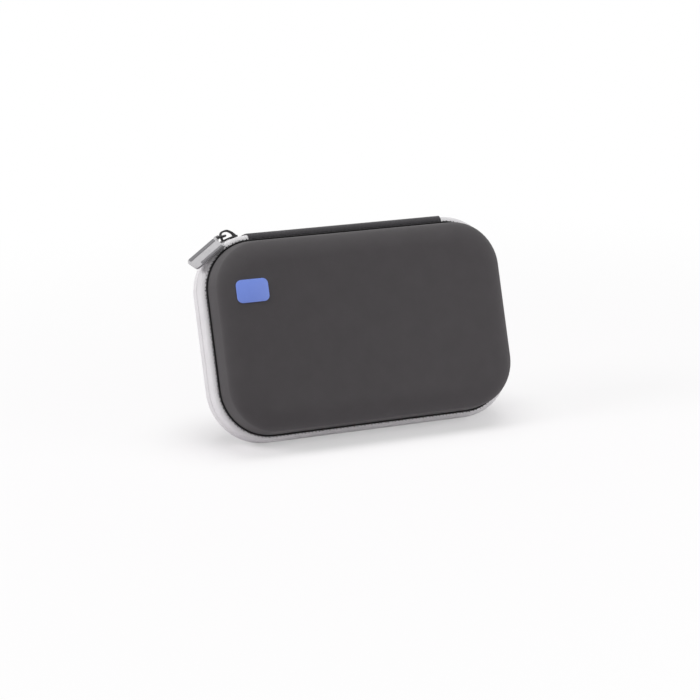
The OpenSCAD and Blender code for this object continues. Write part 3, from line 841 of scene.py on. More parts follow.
@dataclass
class MouldedHalf:
    """One half of the case: moulded shell, lining, seam cord, zip tape, coil and stitches."""

    half: Half
    finishes: Finishes
    face_rings: Point = (3.0, 6.0)
    tape_soft: float = 0.25
    fold_from: float = 1.6
    fold_h: float = 0.12
    zone_fit: float = 2.5
    stitch_pitch: float = 2.4
    stitch_length: float = 1.25
    stitch_d: float = 0.42
    stitch_soft: float = 0.18
    stitch_u: float = 1.22
    stitch_lean: float = 38.0
    stitch_tilt: float = -7.0
    coil_pitch: float = 1.5
    coil_wire: float = 0.32
    coil_lean: float = 0.28

    def _piece(
        self, bm: BMesh, name: str, material: Material, node: str = "", smooth: float = 50.0,
        cloth: Callable[[Vector, Vector], Point] | None = None, wrap: float = 0.0,
    ) -> Object:
        """Unroll the cloth of a piece of this half, and finish it.

        Args:
            bm: The mesh; it is freed.
            name: The piece's name after that of the half.
            material: Its material.
            node: The CAD node it replaces, after the half's name, or "".
            smooth: The angle under which edges are shaded smooth, in degrees.
            cloth: How its cloth is unrolled, if not flat.
            wrap: The length at which the cloth's first coordinate starts again, or 0.

        Returns:
            The new object.
        """
        body = self.half.body
        if cloth:
            bmesh.ops.recalc_face_normals(bm, faces=bm.faces)
            paint_uv(bm, cloth, wrap)
        nodes = [f"{body}_{node}"] if node else []
        return finish_piece(bm, f"{body}_{name}", material, body, nodes, smooth=smooth)

    def _wall(self, inset: float, steps: int = 8) -> list[Point]:
        """Section of the wall at one inset, from the rim to where the flat face starts."""
        s = SIZES
        bend = s.ridge_foot - inset * math.tan(math.radians(s.side_draft) / 2)
        curve = arc((s.round_u, s.round_v), s.face_round - inset, s.side_draft, 90, steps)
        return [(-inset, bend)] + curve

    def _soft_wall(self, steps: int = 14) -> list[Point]:
        """Outer section of the wall, which runs into the flat face in a long, soft curve."""
        s = SIZES
        start = math.radians(s.side_draft)
        centre = s.round_u + s.face_round - s.face_soft
        turns = [start + (math.pi / 2 - start) * k / steps for k in range(steps + 1)]
        curve = [(centre + s.face_soft * math.cos(t), s.round_v + s.face_round * math.sin(t)) for t in turns]
        return [(0.0, s.ridge_foot)] + curve

    def _moulded(self, section: Sequence[Point], depths: Point) -> BMesh:
        """Carry a wall's section round, and fill its two flat faces with rings that keep their shading even."""
        bm = bmesh.new()
        Sweep(section, self.half.side, closed=False).run(bm)
        for depth in depths:
            z = self.half.side * depth
            rim = [e for e in bm.edges if e.is_boundary and all(abs(v.co.z - z) < 1e-3 for v in e.verts)]
            made = bmesh.ops.contextual_create(bm, geom=rim)["faces"]
            for step in self.face_rings:
                bmesh.ops.inset_region(bm, faces=made, thickness=step, use_even_offset=True)
        return bm

    def build(self) -> list[Object]:
        """Build all pieces of this half."""
        return [self.shell(), self.lining(), self.seam_cord(), self.tape(), self.coil(), self.stitches()]

    def shell(self) -> Object:
        """The moulded shell with the flange under the tape."""
        s = SIZES
        shoulder = (s.ridge_h - s.ridge_round, s.ridge_foot - s.ridge_round)
        ridge = [(0.0, s.strip_foot)] + arc(shoulder, s.ridge_round - s.tape_t, 90, 0, 6)
        channel = s.part_gap + s.channel_w
        ridge += [(s.flange_h, channel), (0.0, channel), (0.0, s.part_gap), (-s.shell_wall, s.part_gap)]
        section = list(reversed(self._soft_wall())) + ridge + self._wall(s.shell_wall)
        bm = self._moulded(section, (s.half_depth, s.half_depth - s.shell_wall))
        return self._piece(bm, "moulded_shell", self.finishes.shell, "shell", cloth=shell_cloth)

    def lining(self) -> Object:
        """The brushed lining inside the shell."""
        s = SIZES
        inset = s.shell_wall + s.lining_t
        lip = [(-s.shell_wall, s.part_gap), (-s.shell_wall - s.lining_t, s.part_gap)]
        section = list(reversed(self._wall(s.shell_wall))) + lip + self._wall(inset)
        bm = self._moulded(section, (s.half_depth - s.shell_wall, s.lining_in))
        return self._piece(bm, "brushed_lining", self.finishes.lining, "lining", cloth=shell_cloth)

    def seam_cord(self) -> Object:
        """The cord sewn along the foot of the ridge; its near-black colour also paints the shadow in the gap
        there.
        """
        s = SIZES
        r = s.seam_d / 2
        bm = bmesh.new()
        Sweep(arc((r, s.ridge_foot + r), r, 0, 360, 10)[:-1], self.half.side).run(bm, side_steps=8)
        return self._piece(
            bm, "piping_cord_with_painted_gap_shade", self.finishes.cord, "seam_cord", 60, rim_cloth, s.perimeter
        )

    def _tape_section(self, from_v: float) -> list[Point]:
        """Section of the tape, from its free edge over the shoulder to its foot."""
        s = SIZES
        shoulder = (s.ridge_h - s.ridge_round, s.ridge_foot - s.ridge_round)
        soft, fold = self.tape_soft, from_v + self.fold_from
        outer = [(s.ridge_h - soft, from_v), (s.ridge_h, from_v + soft)]
        outer += [(s.ridge_h, fold), (s.ridge_h + self.fold_h, fold + 0.3), (s.ridge_h, fold + 0.6)]
        outer += arc(shoulder, s.ridge_round, 0, 90, 8) + [(0.0, s.ridge_foot)]
        inner = [(0.0, s.strip_foot)] + arc(shoulder, s.ridge_round - s.tape_t, 90, 0, 5)
        return outer + inner + [(s.flange_h, from_v + soft)]

    def tape(self) -> Object:
        """The pale zip tape; the rear one has no free edge where the closed slider sits."""
        s = SIZES
        left = s.slider_zone if self.half is Half.BASE else 0.0
        bm = bmesh.new()
        Sweep(self._tape_section(s.part_gap), self.half.side).run(bm, left, whole=False, turn_steps=18)
        if left:
            short = Sweep(self._tape_section(s.part_gap + s.channel_w), self.half.side)
            first = short.start(bm, 0.0)
            last = short.spin(bm, first, (-s.corner_x, s.corner_y), left, 7)
            for rim in (first, last):
                bmesh.ops.contextual_create(bm, geom=rim)
        return self._piece(
            bm, "woven_tape", self.finishes.tape, "zip_tape", 45, rim_cloth, s.perimeter
        )

    def coil(self) -> Object:
        """The nylon coil under the tape's free edge, loop by loop."""
        s = SIZES
        small = bmesh.new()
        ring = bmesh.ops.create_circle(
            small, segments=5, radius=self.coil_wire,
            matrix=placed(0.0, s.coil_d / 2 - self.coil_wire, 0.0) @ turned(90, "Y"),
        )["verts"]
        edges = list({e for v in ring for e in v.link_edges})
        bmesh.ops.spin(
            small, geom=ring + edges, cent=(0.0, 0.0, 0.0), axis=(1.0, 0.0, 0.0), angle=2 * math.pi, steps=9,
            use_merge=True,
        )
        bmesh.ops.remove_doubles(small, verts=small.verts, dist=0.001)
        bmesh.ops.transform(small, matrix=Matrix.Shear("XY", 4, (self.coil_lean, 0.0)), verts=small.verts)
        bmesh.ops.recalc_face_normals(small, faces=small.faces)
        per_degree = math.radians(1) * s.rim_r
        start = (s.slider_zone + self.zone_fit if self.half is Half.BASE else s.coil_from) * per_degree
        end = s.perimeter - 2 * s.corner_x - s.coil_from * per_degree
        depth = self.half.side * (s.part_gap + s.coil_gap + s.coil_d / 2)
        count = int((end - start - 1.0) / self.coil_pitch)
        bm = bmesh.new()
        copies(bm, small, (rim_frame(start + 0.5 + k * self.coil_pitch, s.coil_u, depth) for k in range(count)))
        return self._piece(bm, "nylon_coil", self.finishes.coil, "zip_coil", 180)

    def stitches(self) -> Object:
        """The row of stitches that holds the tape's foot to the shell."""
        s = SIZES
        small = bmesh.new()
        rod(small, self.stitch_d, self.stitch_length, Matrix.Identity(4))
        caps = [e for e in small.edges if abs(e.verts[0].co.x - e.verts[1].co.x) < 1e-4]
        soften(small, caps, self.stitch_soft, 2)
        count = round(s.perimeter / self.stitch_pitch)
        pitch = s.perimeter / count
        places = []
        for k in range(count):
            lean = math.radians(self.stitch_lean) + 0.3 * math.sin(5.1 * k) + 0.2 * math.sin(1.7 * k)
            along = (k + 0.5) * pitch + 0.25 * math.sin(2.9 * k)
            out = self.stitch_u + 0.08 * math.sin(3.7 * k)
            place = rim_frame(along, out, self.half.side * (s.ridge_foot + 0.02))
            tilt = turned(self.half.side * self.stitch_tilt, "X")
            places.append(place @ tilt @ Matrix.Rotation(lean, 4, "Z"))
        bm = bmesh.new()
        copies(bm, small, places)
        return self._piece(bm, "seam_stitches", self.finishes.thread, smooth=60)


# ---------------------------------------------------------------------------
# Spine
# ---------------------------------------------------------------------------


@dataclass
class Spine:
    """The strip that folds over the ridge along the top, and the one inside it."""

    finishes: Finishes
    top_t: float = 1.8
    side_t: float = 0.75
    fit: float = 0.05
    end_gap: float = 0.3
    crown: float = 0.25
    crease: float = 0.12
    steps: int = 24
    inner_t: float = 0.3
    inner_w: float = 14.0
    stitch_count: int = 42
    stitch_d: float = 0.44
    stitch_l: float = 2.1
    stitch_u: float = 1.6
    end_free: float = 2.0
    bend_u: float = 4.6

    def _section(self) -> list[Point]:
        """Section of the strip, as height above the rim and depth."""
        s = SIZES
        top, foot = s.flange_h + self.top_t, s.strip_foot + self.side_t
        inner_top, inner_foot = s.flange_h + self.fit, s.strip_foot + self.fit
        r, inner_r = s.ridge_round, s.ridge_round - s.tape_t + self.fit
        steps, flat = 16, foot - r
        outer: list[Point] = [(0.0, foot)] + arc((top - r, foot - r), r, 90, 0, 7)
        for k in range(1, steps):
            v = flat - 2 * flat * k / steps
            arch = self.crown * (1 - (v / flat) ** 2)
            outer.append((top + arch - self.crease * math.exp(-((v / 0.5) ** 2)), v))
        outer += arc((top - r, -foot + r), r, 0, -90, 7) + [(0.0, -foot)]
        inner = [(0.0, -inner_foot)] + arc((inner_top - inner_r, -inner_foot + inner_r), inner_r, -90, 0, 5)
        inner += [(inner_top, v) for v in (-3.0, -1.2, -0.4, 0.4, 1.2, 3.0)]
        inner += arc((inner_top - inner_r, inner_foot - inner_r), inner_r, 0, 90, 5) + [(0.0, inner_foot)]
        return outer + inner

    def build(self) -> list[Object]:
        """Build both strips and the stitches along their feet."""
        return [self.outer_strip(), self.inner_strip(), *self.edge_stitches()]

    def outer_strip(self) -> Object:
        """The ribbed strip outside."""
        s = SIZES
        half = s.corner_x - self.end_gap
        bm = bmesh.new()
        edges = closed_line(bm, [(-half, s.rim_h / 2 + u, v) for u, v in self._section()])
        cap = bmesh.ops.contextual_create(bm, geom=edges)["faces"]
        for _ in range(self.steps):
            grown = bmesh.ops.extrude_face_region(bm, geom=cap)["geom"]
            cap = of_kind(grown, BMFace)
            bmesh.ops.translate(bm, verts=of_kind(grown, BMVert), vec=(2 * half / self.steps, 0.0, 0.0))
        if not any(all(abs(v.co.x + half) < 1e-4 for v in f.verts) for f in bm.faces):
            bmesh.ops.contextual_create(bm, geom=[e for e in bm.edges if e.is_boundary])
        bmesh.ops.recalc_face_normals(bm, faces=bm.faces)
        paint_uv(bm, lambda co, _normal: (co.x, co.z - math.copysign(co.y - s.rim_h / 2, co.z)))
        piece = finish_piece(
            bm, "ribbed_spine_strip", self.finishes.spine, "", ["spine_strip"], smooth=50
        )
        self._bend(piece)
        return piece

    def inner_strip(self) -> Object:
        """The thin strip of lining cloth across the joint inside."""
        s = SIZES
        y = s.rim_h / 2 - s.shell_wall - s.lining_t - self.fit
        size = Matrix.Diagonal((2 * s.corner_x, self.inner_w, 1.0, 1.0))
        bm = bmesh.new()
        bmesh.ops.create_grid(
            bm, x_segments=20, y_segments=14, size=0.5, matrix=placed(0.0, y, 0.0) @ turned(90, "X") @ size
        )
        bmesh.ops.solidify(bm, geom=bm.faces[:], thickness=self.inner_t)
        bmesh.ops.translate(bm, verts=bm.verts, vec=(0.0, y - max(v.co.y for v in bm.verts), 0.0))
        piece = finish_piece(
            bm, "inner_spine_cloth", self.finishes.lining, "", ["inner_spine_strip"], smooth=50
        )
        self._bend(piece)
        return piece

    def edge_stitches(self) -> list[Object]:
        """A row of stitches along each foot of the strip."""
        s = SIZES
        first = -s.corner_x + self.end_free
        pitch = 2 * (s.corner_x - self.end_free) / self.stitch_count
        pieces = []
        for half in Half:
            z = half.side * (s.strip_foot + self.side_t + 0.02)
            bm = bmesh.new()
            for k in range(self.stitch_count):
                place = placed(first + (k + 0.5) * pitch, s.rim_h / 2 + self.stitch_u, z)
                rod(bm, self.stitch_d, self.stitch_l, place)
            name = f"{half.body}_spine_stitches"
            pieces.append(finish_piece(bm, name, self.finishes.thread, half.body, smooth=60))
        return pieces

    def _bend(self, piece: Object) -> None:
        """Bake the strip's place into its mesh."""
        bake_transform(piece)


# ---------------------------------------------------------------------------
# Foam, pad and pocket
# ---------------------------------------------------------------------------


@dataclass
class FoamInsert:
    """The foam in the base: a sheet with cut wells on a thin bed."""

    finishes: Finishes
    inset: float = 4.0
    bed_t: float = 3.0
    well_depth: float = 20.4
    web: float = 4.5
    well_r: float = 5.0
    step_fit: float = 0.2
    long_l: float = 136.0
    long_w: float = 31.0
    neck_l: float = 24.0
    neck_w: float = 22.0
    tall: Point = (42.0, 67.5)
    wide: Point = (64.0, 67.5)
    small: Point = (46.0, 25.0)
    round_d: float = 31.0

    def _taper(self, depth: float) -> float:
        """Inset of the foam's edge at a depth, along the drafted wall."""
        rise = max(0.0, depth - SIZES.ridge_foot)
        return self.inset + rise * math.tan(math.radians(SIZES.side_draft))

    def _handle_well(self, y: float) -> list[Point]:
        """Outline of the long well, which narrows for the handle's neck."""
        x = -(self.long_l + self.neck_l) / 2
        right, r = x + self.long_l, self.well_r
        end = right + self.neck_l
        top, low = y + self.long_w / 2, y - self.long_w / 2
        neck_top, neck_low = y + self.neck_w / 2, y - self.neck_w / 2
        step = (self.long_w - self.neck_w) / 2 - self.step_fit
        return [
            *arc((end - r, neck_top - r), r, 0, 90, 6), (right, neck_top),
            *arc((right - step, top - step), step, 0, 90, 5),
            *arc((x + r, top - r), r, 90, 180, 6), *arc((x + r, low + r), r, 180, 270, 6),
            *arc((right - step, low + step), step, 270, 360, 5), (right, neck_low),
            *arc((end - r, neck_low + r), r, 270, 360, 6),
        ]

    def _wells(self) -> list[list[Point]]:
        """Outlines of the wells."""
        s, r = SIZES, self.well_r
        edge = self._taper(s.lining_in)
        long_y = s.rim_h / 2 - edge - self.web - self.long_w / 2
        heads_top = long_y - self.long_w / 2 - self.web
        reach = s.rim_w / 2 - edge - s.corner_x - self.web - r
        drop = max(0.0, self.tall[1] - heads_top - r - s.corner_y)
        tall_x = -s.corner_x - math.sqrt(max(0.0, reach**2 - drop**2)) - r + self.tall[0] / 2
        wide_x = tall_x + self.tall[0] / 2 + self.web + self.wide[0] / 2
        side_x = wide_x + self.wide[0] / 2 + self.web + self.small[0] / 2
        round_y = heads_top - self.small[1] - self.web - self.round_d / 2
        heads = ((self.tall, tall_x), (self.wide, wide_x), (self.small, side_x))
        boxes = [rounded_outline(*size, r, (x, heads_top - size[1] / 2)) for size, x in heads]
        return [self._handle_well(long_y), *boxes, arc((side_x, round_y), self.round_d / 2, 0, 360, 32)[:-1]]

    def build(self) -> list[Object]:
        """Build the sheet with its wells and the bed under it."""
        foam = self.finishes.foam
        depth = SIZES.lining_in
        back = depth - self.bed_t
        bm = bmesh.new()
        extruded_plate(
            bm, [SIZES.inset_outline(self._taper(back)), *self._wells()], -back, self.well_depth, 0.9
        )
        sheet = finish_piece(bm, "cut_foam_sheet", foam, "base", ["foam_insert"], smooth=35)
        bm = bmesh.new()
        extruded_plate(bm, [SIZES.inset_outline(self._taper(depth))], -depth, self.bed_t - 0.05, 0.4)
        bed = finish_piece(bm, "foam_bed_sheet", foam, "base", ["foam_bed"], smooth=35)
        return [sheet, bed]


@dataclass
class LidInside:
    """The pad in the lid and the net pocket on it."""

    finishes: Finishes
    inset: float = 4.0
    pad_t: float = 10.0
    pocket_w: float = 150.0
    pocket_h: float = 70.0
    pocket_d: float = 7.6
    pocket_y: float = -42.0
    elastic_h: float = 7.0
    elastic_t: float = 1.6
    binding_w: float = 6.0
    binding_t: float = 0.8
    stitch_d: float = 0.4
    stitch_l: float = 2.4
    stitch_pitch: float = 3.4

    @property
    def foot(self) -> float:
        """Depth of the pad's face, on which the pocket is sewn."""
        return SIZES.lining_in - self.pad_t

    def build(self) -> list[Object]:
        """Build the pad, net, elastic and binding."""
        return [self.pad(), self.net(), self.elastic(), self.binding()]

    def pad(self) -> Object:
        """The foam pad, with soft edges."""
        s = SIZES
        inset = self.inset + (s.lining_in - s.ridge_foot) * math.tan(math.radians(s.side_draft))
        bm = bmesh.new()
        extruded_plate(bm, [s.inset_outline(inset)], s.lining_in, -self.pad_t, 1.4, 4)
        piece = finish_piece(bm, "lid_foam_pad", self.finishes.foam, "lid", ["lid_pad"], smooth=40)
        return piece

    def net(self) -> Object:
        """The net, one sheet that is turned down to the pad on three sides."""
        w, h, d = self.pocket_w, self.pocket_h, self.pocket_d
        place = placed(0.0, self.pocket_y + h / 2, self.foot - d + 0.3)
        bm = bmesh.new()
        bmesh.ops.create_grid(
            bm, x_segments=44, y_segments=24, size=0.5, matrix=place @ Matrix.Diagonal((w, h, 1.0, 1.0))
        )
        mouth = self.pocket_y + h - 0.01
        rim = [e for e in bm.edges if e.is_boundary and not all(v.co.y > mouth for v in e.verts)]
        grown = bmesh.ops.extrude_edge_only(bm, edges=rim)["geom"]
        bmesh.ops.translate(bm, verts=of_kind(grown, BMVert), vec=(0.0, 0.0, d - 0.35))
        paint_uv(bm, flat_cloth)
        for vert in bm.verts:
            if vert.co.z < self.foot - d + 1.0:
                across = max(0.0, 1 - (2 * vert.co.x / w) ** 2)
                up = (vert.co.y - self.pocket_y) / h
                sag = 0.5 * math.sin(4.2 * math.pi * up) + 0.35 * math.sin(0.21 * vert.co.x) * up
                vert.co.z += sag * across
        piece = finish_piece(
            bm, "pocket_tricot_net", self.finishes.net, "lid", ["pocket_net"], closed=False, smooth=60
        )
        return piece

    def elastic(self) -> Object:
        """The gathered elastic along the pocket's mouth."""
        w, h, t = self.pocket_w, self.elastic_h, self.elastic_t
        middle_y, middle_z = self.pocket_y + self.pocket_h + h / 2, self.foot - self.pocket_d + t / 2
        place = placed(0.0, middle_y, middle_z) @ Matrix.Diagonal((w, h, t, 1.0))
        bm = bmesh.new()
        bmesh.ops.create_cube(bm, size=1.0, matrix=place)
        for axis, length, cuts in ((0, w, 149), (1, h, 3)):
            edges = [e for e in bm.edges if abs(e.verts[0].co[axis] - e.verts[1].co[axis]) > length / 2]
            bmesh.ops.subdivide_edges(bm, edges=edges, cuts=cuts, use_grid_fill=True)
        for vert in bm.verts:
            away = abs(vert.co.y - middle_y) / (h / 2)
            wave = 0.12 * math.sin(vert.co.x * 2.1) * (1 - away**2)
            vert.co.z = middle_z + (vert.co.z - middle_z) * (1 - 0.45 * away**3) * (0.85 + wave)
        return finish_piece(
            bm, "pocket_gathered_elastic", self.finishes.elastic, "lid", ["pocket_elastic"], smooth=60
        )

    def binding(self) -> Object:
        """The binding tape sewn round the pocket on three sides, with its stitches."""
        b, t = self.binding_w, self.binding_t
        x, low, top = self.pocket_w / 2, self.pocket_y, self.pocket_y + self.pocket_h
        outline = [
            (-x - b, top), (-x - b, low - b), (x + b, low - b), (x + b, top),
            (x, top), (x, low), (-x, low), (-x, top),
        ]
        bm = bmesh.new()
        extruded_plate(bm, [outline], self.foot, -t + 0.1, 0.25, 2)
        out, foot = x + b / 2, low - b / 2
        corners = [(-out, top - 2), (-out, foot), (out, foot), (out, top - 2)]
        for (x0, y0), (x1, y1) in zip(corners, corners[1:]):
            turn = Matrix.Rotation(math.atan2(y1 - y0, x1 - x0), 4, "Z")
            count = int(math.hypot(x1 - x0, y1 - y0) / self.stitch_pitch)
            for k in range(count):
                share = (k + 0.5) / count
                place = placed(x0 + (x1 - x0) * share, y0 + (y1 - y0) * share, self.foot - t + 0.12)
                rod(bm, self.stitch_d, self.stitch_l, place @ turn, 6)
        return finish_piece(
            bm, "pocket_binding_tape", self.finishes.binding, "lid", ["pocket_binding"], smooth=40
        )


# ---------------------------------------------------------------------------
# Slider, pull and label
# ---------------------------------------------------------------------------


@dataclass
class SliderAndPull:
    """The slider's crown and the moulded tab; the plates and the link are the CAD's own."""

    finishes: Finishes
    slider_arc: float = 17.0
    plate_u: float = 4.6
    plate_t: float = 1.2
    crown_h: float = 6.9
    crown_w: float = 2.4
    crown_t: float = 1.2
    heel: float = 4.8
    shoulder: float = 2.8
    link_d: float = 1.4
    link_front: float = 4.6
    link_back: float = 2.2
    tab_l: float = 24.0
    tab_w: float = 10.5
    tab_t: float = 1.8
    tab_r: float = 2.0
    tab_fall: float = 33.6
    tab_roll: float = 46.6
    tab_top: Place = (-0.5, -3.5, 7.6)
    neck_d: float = 1.36
    sleeve_t: float = 0.7
    far_bar: Point = (-85.2046, 66.7594)

    def build(self) -> list[Object]:
        """Build the crown and the tab, and dress the CAD's own pieces."""
        looks = {
            "slider_body": self.finishes.slider, "pull_link": self.finishes.slider,
            "base_zip_stops": self.finishes.stop, "lid_zip_stops": self.finishes.stop,
        }
        for name, material in looks.items():
            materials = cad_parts[name].data.materials
            materials.clear()
            materials.append(material)
        return [self.crown(), self.tab(), self.tab_rims()]

    def crown(self) -> Object:
        """The crown: a cast arch with a nose, its edges softened."""
        s = SIZES
        top, foot = s.rim_r + s.ridge_h + self.crown_h, s.rim_r + self.plate_u + self.plate_t
        nose = -foot * math.sin(math.radians(self.slider_arc / 2))
        heel, shoulder, t = self.heel, self.shoulder, self.crown_t
        bend = (top - shoulder, heel - shoulder)
        low, sill = foot - 0.9, foot - 0.1
        outline = [
            (low, nose + 0.3), (foot, nose), (foot + 0.9, nose + 0.5), (foot + 2.4, -4.1), (foot + 3.7, -2.9),
            (top - 0.5, -1.5), (top - 0.1, -0.3), (top, 0.9), *arc(bend, shoulder, 0, 90, 8), (low, heel),
        ]
        eye = [
            *arc(bend, shoulder - t, 0, 90, 8), (sill, heel - t), (sill, -3.3), (foot + 1.2, -3.1),
            (foot + 2.7, -2.1), (top - t - 0.4, -0.9), (top - t, 0.6),
        ]
        bm = bmesh.new()
        extruded_plate(bm, [outline, eye], -self.crown_w / 2, self.crown_w, 0.0)
        soften_sharp(bm, 0.28)
        matrix = placed(-s.corner_x, s.corner_y, 0.0) @ turned(90 + s.slider_at, "Z")
        return finish_piece(
            bm, "slider_cast_crown", self.finishes.slider, "slider", ["slider_crown"], smooth=40,
            matrix=matrix,
        )

    def _tab_matrix(self) -> Matrix:
        """Place of the tab: x along it from its top edge, y across it and z out of its face."""
        x, y, z = self.tab_top
        top = placed(self.far_bar[0] + x, self.far_bar[1] + y, z)
        return top @ turned(180 + self.tab_fall, "Z") @ turned(self.tab_roll, "X")

    def tab(self) -> Object:
        """The moulded tab: a soft plate, a neck and a sleeve round the link's bar."""
        w, end, r, t = self.tab_w / 2, self.tab_l - self.tab_r, self.tab_r, self.tab_t
        sleeve_r = self.link_d / 2 + self.sleeve_t
        reach, middle = self.link_front + self.link_back, (self.link_front - self.link_back) / 2
        bar_x, bar_y = self.far_bar
        bm = bmesh.new()
        outline = [(0.0, -w), *arc((end, -w + r), r, 270, 360, 5), *arc((end, w - r), r, 0, 90, 5), (0.0, w)]
        extruded_plate(bm, [outline], -t / 2, t, 0.0)
        soften_sharp(bm, 0.4)
        bm.transform(self._tab_matrix())
        neck = bmesh.new()
        bmesh.ops.create_cone(
            neck, cap_ends=True, segments=16, radius1=self.neck_d / 2, radius2=self.neck_d / 2, depth=reach - 2.4,
            matrix=placed(bar_x - 0.75 * sleeve_r, bar_y - 0.55 * sleeve_r, middle),
        )
        root = placed(0.5, -w / 2 + 0.2, 0.0) @ Matrix.Diagonal((1.0, w - 0.4, t - 0.2, 1.0))
        bmesh.ops.create_cube(neck, size=1.0, matrix=self._tab_matrix() @ root)
        made = bmesh.ops.convex_hull(neck, input=neck.verts[:])
        bmesh.ops.delete(neck, geom=list(set(of_kind(made["geom_interior"], BMVert))), context="VERTS")
        tube = bmesh.new()
        ring = bmesh.ops.create_circle(tube, segments=20, radius=sleeve_r)["verts"]
        grown = bmesh.ops.extrude_edge_only(tube, edges=list({e for v in ring for e in v.link_edges}))["geom"]
        half = (reach - self.link_d - 0.6) / 2
        bmesh.ops.translate(tube, verts=of_kind(grown, BMVert), vec=(0.0, 0.0, 2 * half))
        bmesh.ops.translate(tube, verts=tube.verts, vec=(bar_x, bar_y, middle - half))
        bmesh.ops.solidify(tube, geom=tube.faces[:], thickness=0.55)
        for other in (neck, tube):
            bmesh.ops.recalc_face_normals(other, faces=other.faces)
            copies(bm, other, [Matrix.Identity(4)])
        return finish_piece(
            bm, "moulded_pull_tab", self.finishes.tab, "pull_tab", ["pull_tab"], smooth=40
        )

    def tab_rims(self) -> Object:
        """The two darker ribs along the tab's face."""
        bm = bmesh.new()
        for side, end, rib_w in ((-1, self.tab_l - 1.5, 2.7), (1, self.tab_l - 5.0, 1.9)):
            centre = side * (self.tab_w / 2 - 0.2 - rib_w / 2)
            outline = rounded_outline(end - 1.0, rib_w, 0.6, ((end + 1.0) / 2, centre), 4)
            extruded_plate(bm, [outline], self.tab_t / 2 - 0.2, 0.45, 0.15, 2)
        return finish_piece(
            bm, "tab_dark_ribs", self.finishes.tab_edge, "pull_tab", ["pull_tab_edges"], smooth=40,
            matrix=self._tab_matrix(),
        )


@dataclass
class BlankLabel:
    """The blank printed film on the lid."""

    finishes: Finishes
    w: float = 21.0
    h: float = 14.5
    r: float = 3.5
    t: float = 0.5
    place: Point = (-76.0, 28.8)

    def build(self) -> Object:
        """Build the film with a thin softened edge, laid on the soft face."""
        s = SIZES
        bm = bmesh.new()
        extruded_plate(bm, [rounded_outline(self.w, self.h, self.r, self.place, 6)], s.half_depth, self.t, 0.15, 2)
        flat = s.round_u + s.face_round - s.face_soft
        for vert in bm.verts:
            into = max(0.0, rim_place(vert.co.x, vert.co.y)[1] - flat) / s.face_soft
            vert.co.z -= s.face_round * (1 - math.sqrt(1 - into**2))
        return finish_piece(
            bm, "blank_label_film", self.finishes.label, "lid", ["blank_label"], smooth=40
        )


# ---------------------------------------------------------------------------
# Camera, light and floor
# ---------------------------------------------------------------------------


@dataclass(frozen=True)
class PhotoCamera:
    """The photograph's viewpoint, from the outlines of the case and the tube in front of it."""

    place: Place = (-0.496377, -1.253413, 0.411403)
    heading: float = 21.5908
    pitch: float = -14.9733
    roll: float = -0.7352
    lens: float = 110.23

    def build(self) -> Object:
        """Make the camera and set it as the scene's own."""
        data = bpy.data.cameras.new("photo_camera")
        data.lens = self.lens
        data.sensor_width = 36.0
        data.clip_start, data.clip_end = 0.01, 50.0
        camera = bpy.data.objects.new("photo_camera", data)
        turn = turned(-self.heading, "Z") @ turned(90 + self.pitch, "X") @ turned(self.roll, "Z")
        camera.matrix_world = placed(*self.place) @ turn
        bpy.context.scene.collection.objects.link(camera)
        bpy.context.scene.camera = camera
        return camera


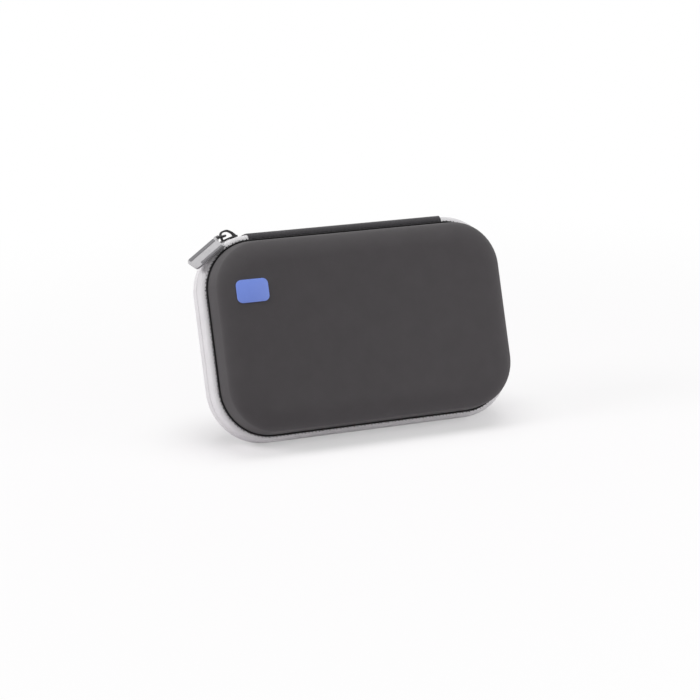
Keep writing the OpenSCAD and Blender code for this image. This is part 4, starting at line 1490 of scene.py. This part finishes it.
@dataclass(frozen=True)
class Studio:
    """Plain soft light from the left and above, on a pale floor without a horizon."""

    floor_colour: str = "#f4f0f3"
    contact_x: float = 0.067
    near: Point = (0.01, 0.08)
    near_white: float = 0.42
    mid_white: float = 0.8
    far: Point = (0.1, 0.7)
    key: float = 24.0
    top: float = 15.0
    fill: float = 2.4
    sky: float = 0.13
    aim: Place = (0.0, 0.0, 0.06)

    def _lamp(self, name: str, place: Place, size: float, power: float) -> None:
        """Add one square area lamp that faces the case."""
        data = bpy.data.lights.new(name, "AREA")
        data.shape = "SQUARE"
        data.size = size
        data.energy = power
        lamp = bpy.data.objects.new(name, data)
        lamp.location = place
        lamp.rotation_mode = "QUATERNION"
        lamp.rotation_quaternion = (Vector(self.aim) - Vector(place)).to_track_quat("-Z", "Y")
        bpy.context.scene.collection.objects.link(lamp)

    def _floor(self) -> None:
        """Add the floor, which fades to plain white away from the case."""
        bm = bmesh.new()
        bmesh.ops.create_grid(bm, x_segments=1, y_segments=1, size=6.0)
        mesh = as_mesh(bm, "floor")
        floor = bpy.data.objects.new("floor", mesh)
        bpy.context.scene.collection.objects.link(floor)
        # Pale paper sweep: matte, and whiter to the camera the farther it lies from the case.
        material, tree = new_material("pale_paper_sweep")
        place = add_node(tree, "ShaderNodeTexCoord").outputs["Object"]
        parts = add_node(tree, "ShaderNodeSeparateXYZ", None, {0: place})
        past = maths(tree, "SUBTRACT", maths(tree, "ABSOLUTE", parts.outputs[0]), self.contact_x)
        flat = {0: maths(tree, "MAXIMUM", past, 0.0), 1: parts.outputs[1]}
        joined = add_node(tree, "ShaderNodeCombineXYZ", None, flat).outputs[0]
        far = add_node(tree, "ShaderNodeVectorMath", {"operation": "LENGTH"}, {0: joined}).outputs["Value"]
        near = ramp(tree, far, self.near, (self.near_white, self.mid_white), "SMOOTHSTEP")
        fade = ramp(tree, far, self.far, (0.0, 1.0 - self.mid_white), "SMOOTHSTEP")
        ray = add_node(tree, "ShaderNodeLightPath").outputs["Is Camera Ray"]
        seen = maths(tree, "MULTIPLY", maths(tree, "ADD", near, fade), ray)
        paper = add_node(tree, "ShaderNodeBsdfDiffuse", None, {0: srgb(self.floor_colour)}).outputs[0]
        white = add_node(tree, "ShaderNodeEmission", None, {0: (1.0, 1.0, 1.0, 1.0), 1: 1.0}).outputs[0]
        shown = add_node(tree, "ShaderNodeMixShader", None, {0: seen, 1: paper, 2: white}).outputs[0]
        add_node(tree, "ShaderNodeOutputMaterial", None, {0: shown})
        mesh.materials.append(material)

    def _sky(self) -> None:
        """Set an even surround for the light, which the camera and reflections see as white."""
        world = bpy.data.worlds.new("studio")
        world.use_nodes = True
        tree = world.node_tree
        tree.nodes.clear()
        ray = add_node(tree, "ShaderNodeLightPath").outputs
        seen = maths(tree, "MAXIMUM", ray["Is Camera Ray"], ray["Is Glossy Ray"])
        power = ramp(tree, seen, (0.0, 1.0), (self.sky, 1.0))
        back = add_node(tree, "ShaderNodeBackground", None, {0: (1.0, 1.0, 1.0, 1.0), 1: power}).outputs[0]
        add_node(tree, "ShaderNodeOutputWorld", None, {0: back})
        bpy.context.scene.world = world

    def build(self) -> None:
        """Build floor, surround and lamps."""
        self._floor()
        self._sky()
        self._lamp("key_lamp", (-1.75, 0.06, 1.15), 0.9, self.key)
        self._lamp("top_lamp", (0.1, 0.1, 1.6), 1.2, self.top)
        self._lamp("fill_lamp", (0.6, -0.55, 0.24), 0.5, self.fill)


# ---------------------------------------------------------------------------
# The whole
# ---------------------------------------------------------------------------


@dataclass
class CarryCase:
    """All sub-assemblies of the case, in the order they are built."""

    finishes: Finishes = field(default_factory=Finishes)

    def build(self) -> None:
        """Build every sub-assembly and log its pieces."""
        parts: list[tuple[str, list[Object]]] = [
            ("base half", MouldedHalf(Half.BASE, self.finishes).build()),
            ("lid half", MouldedHalf(Half.LID, self.finishes).build()),
            ("spine", Spine(self.finishes).build()),
            ("foam", FoamInsert(self.finishes).build()),
            ("lid inside", LidInside(self.finishes).build()),
            ("slider and pull", SliderAndPull(self.finishes).build()),
            ("label", [BlankLabel(self.finishes).build()]),
        ]
        for name, pieces in parts:
            LOG.info("%s: %s", name, ", ".join(p.name for p in pieces))


def main() -> None:
    """Make the camera, the case and the studio."""
    logging.basicConfig(level=logging.INFO, format="%(name)s %(message)s")
    PhotoCamera().build()
    CarryCase().build()
    Studio().build()
    bpy.context.scene.view_settings.view_transform = "Standard"
    bpy.context.view_layer.update()


if __name__ == "__main__":
    main()
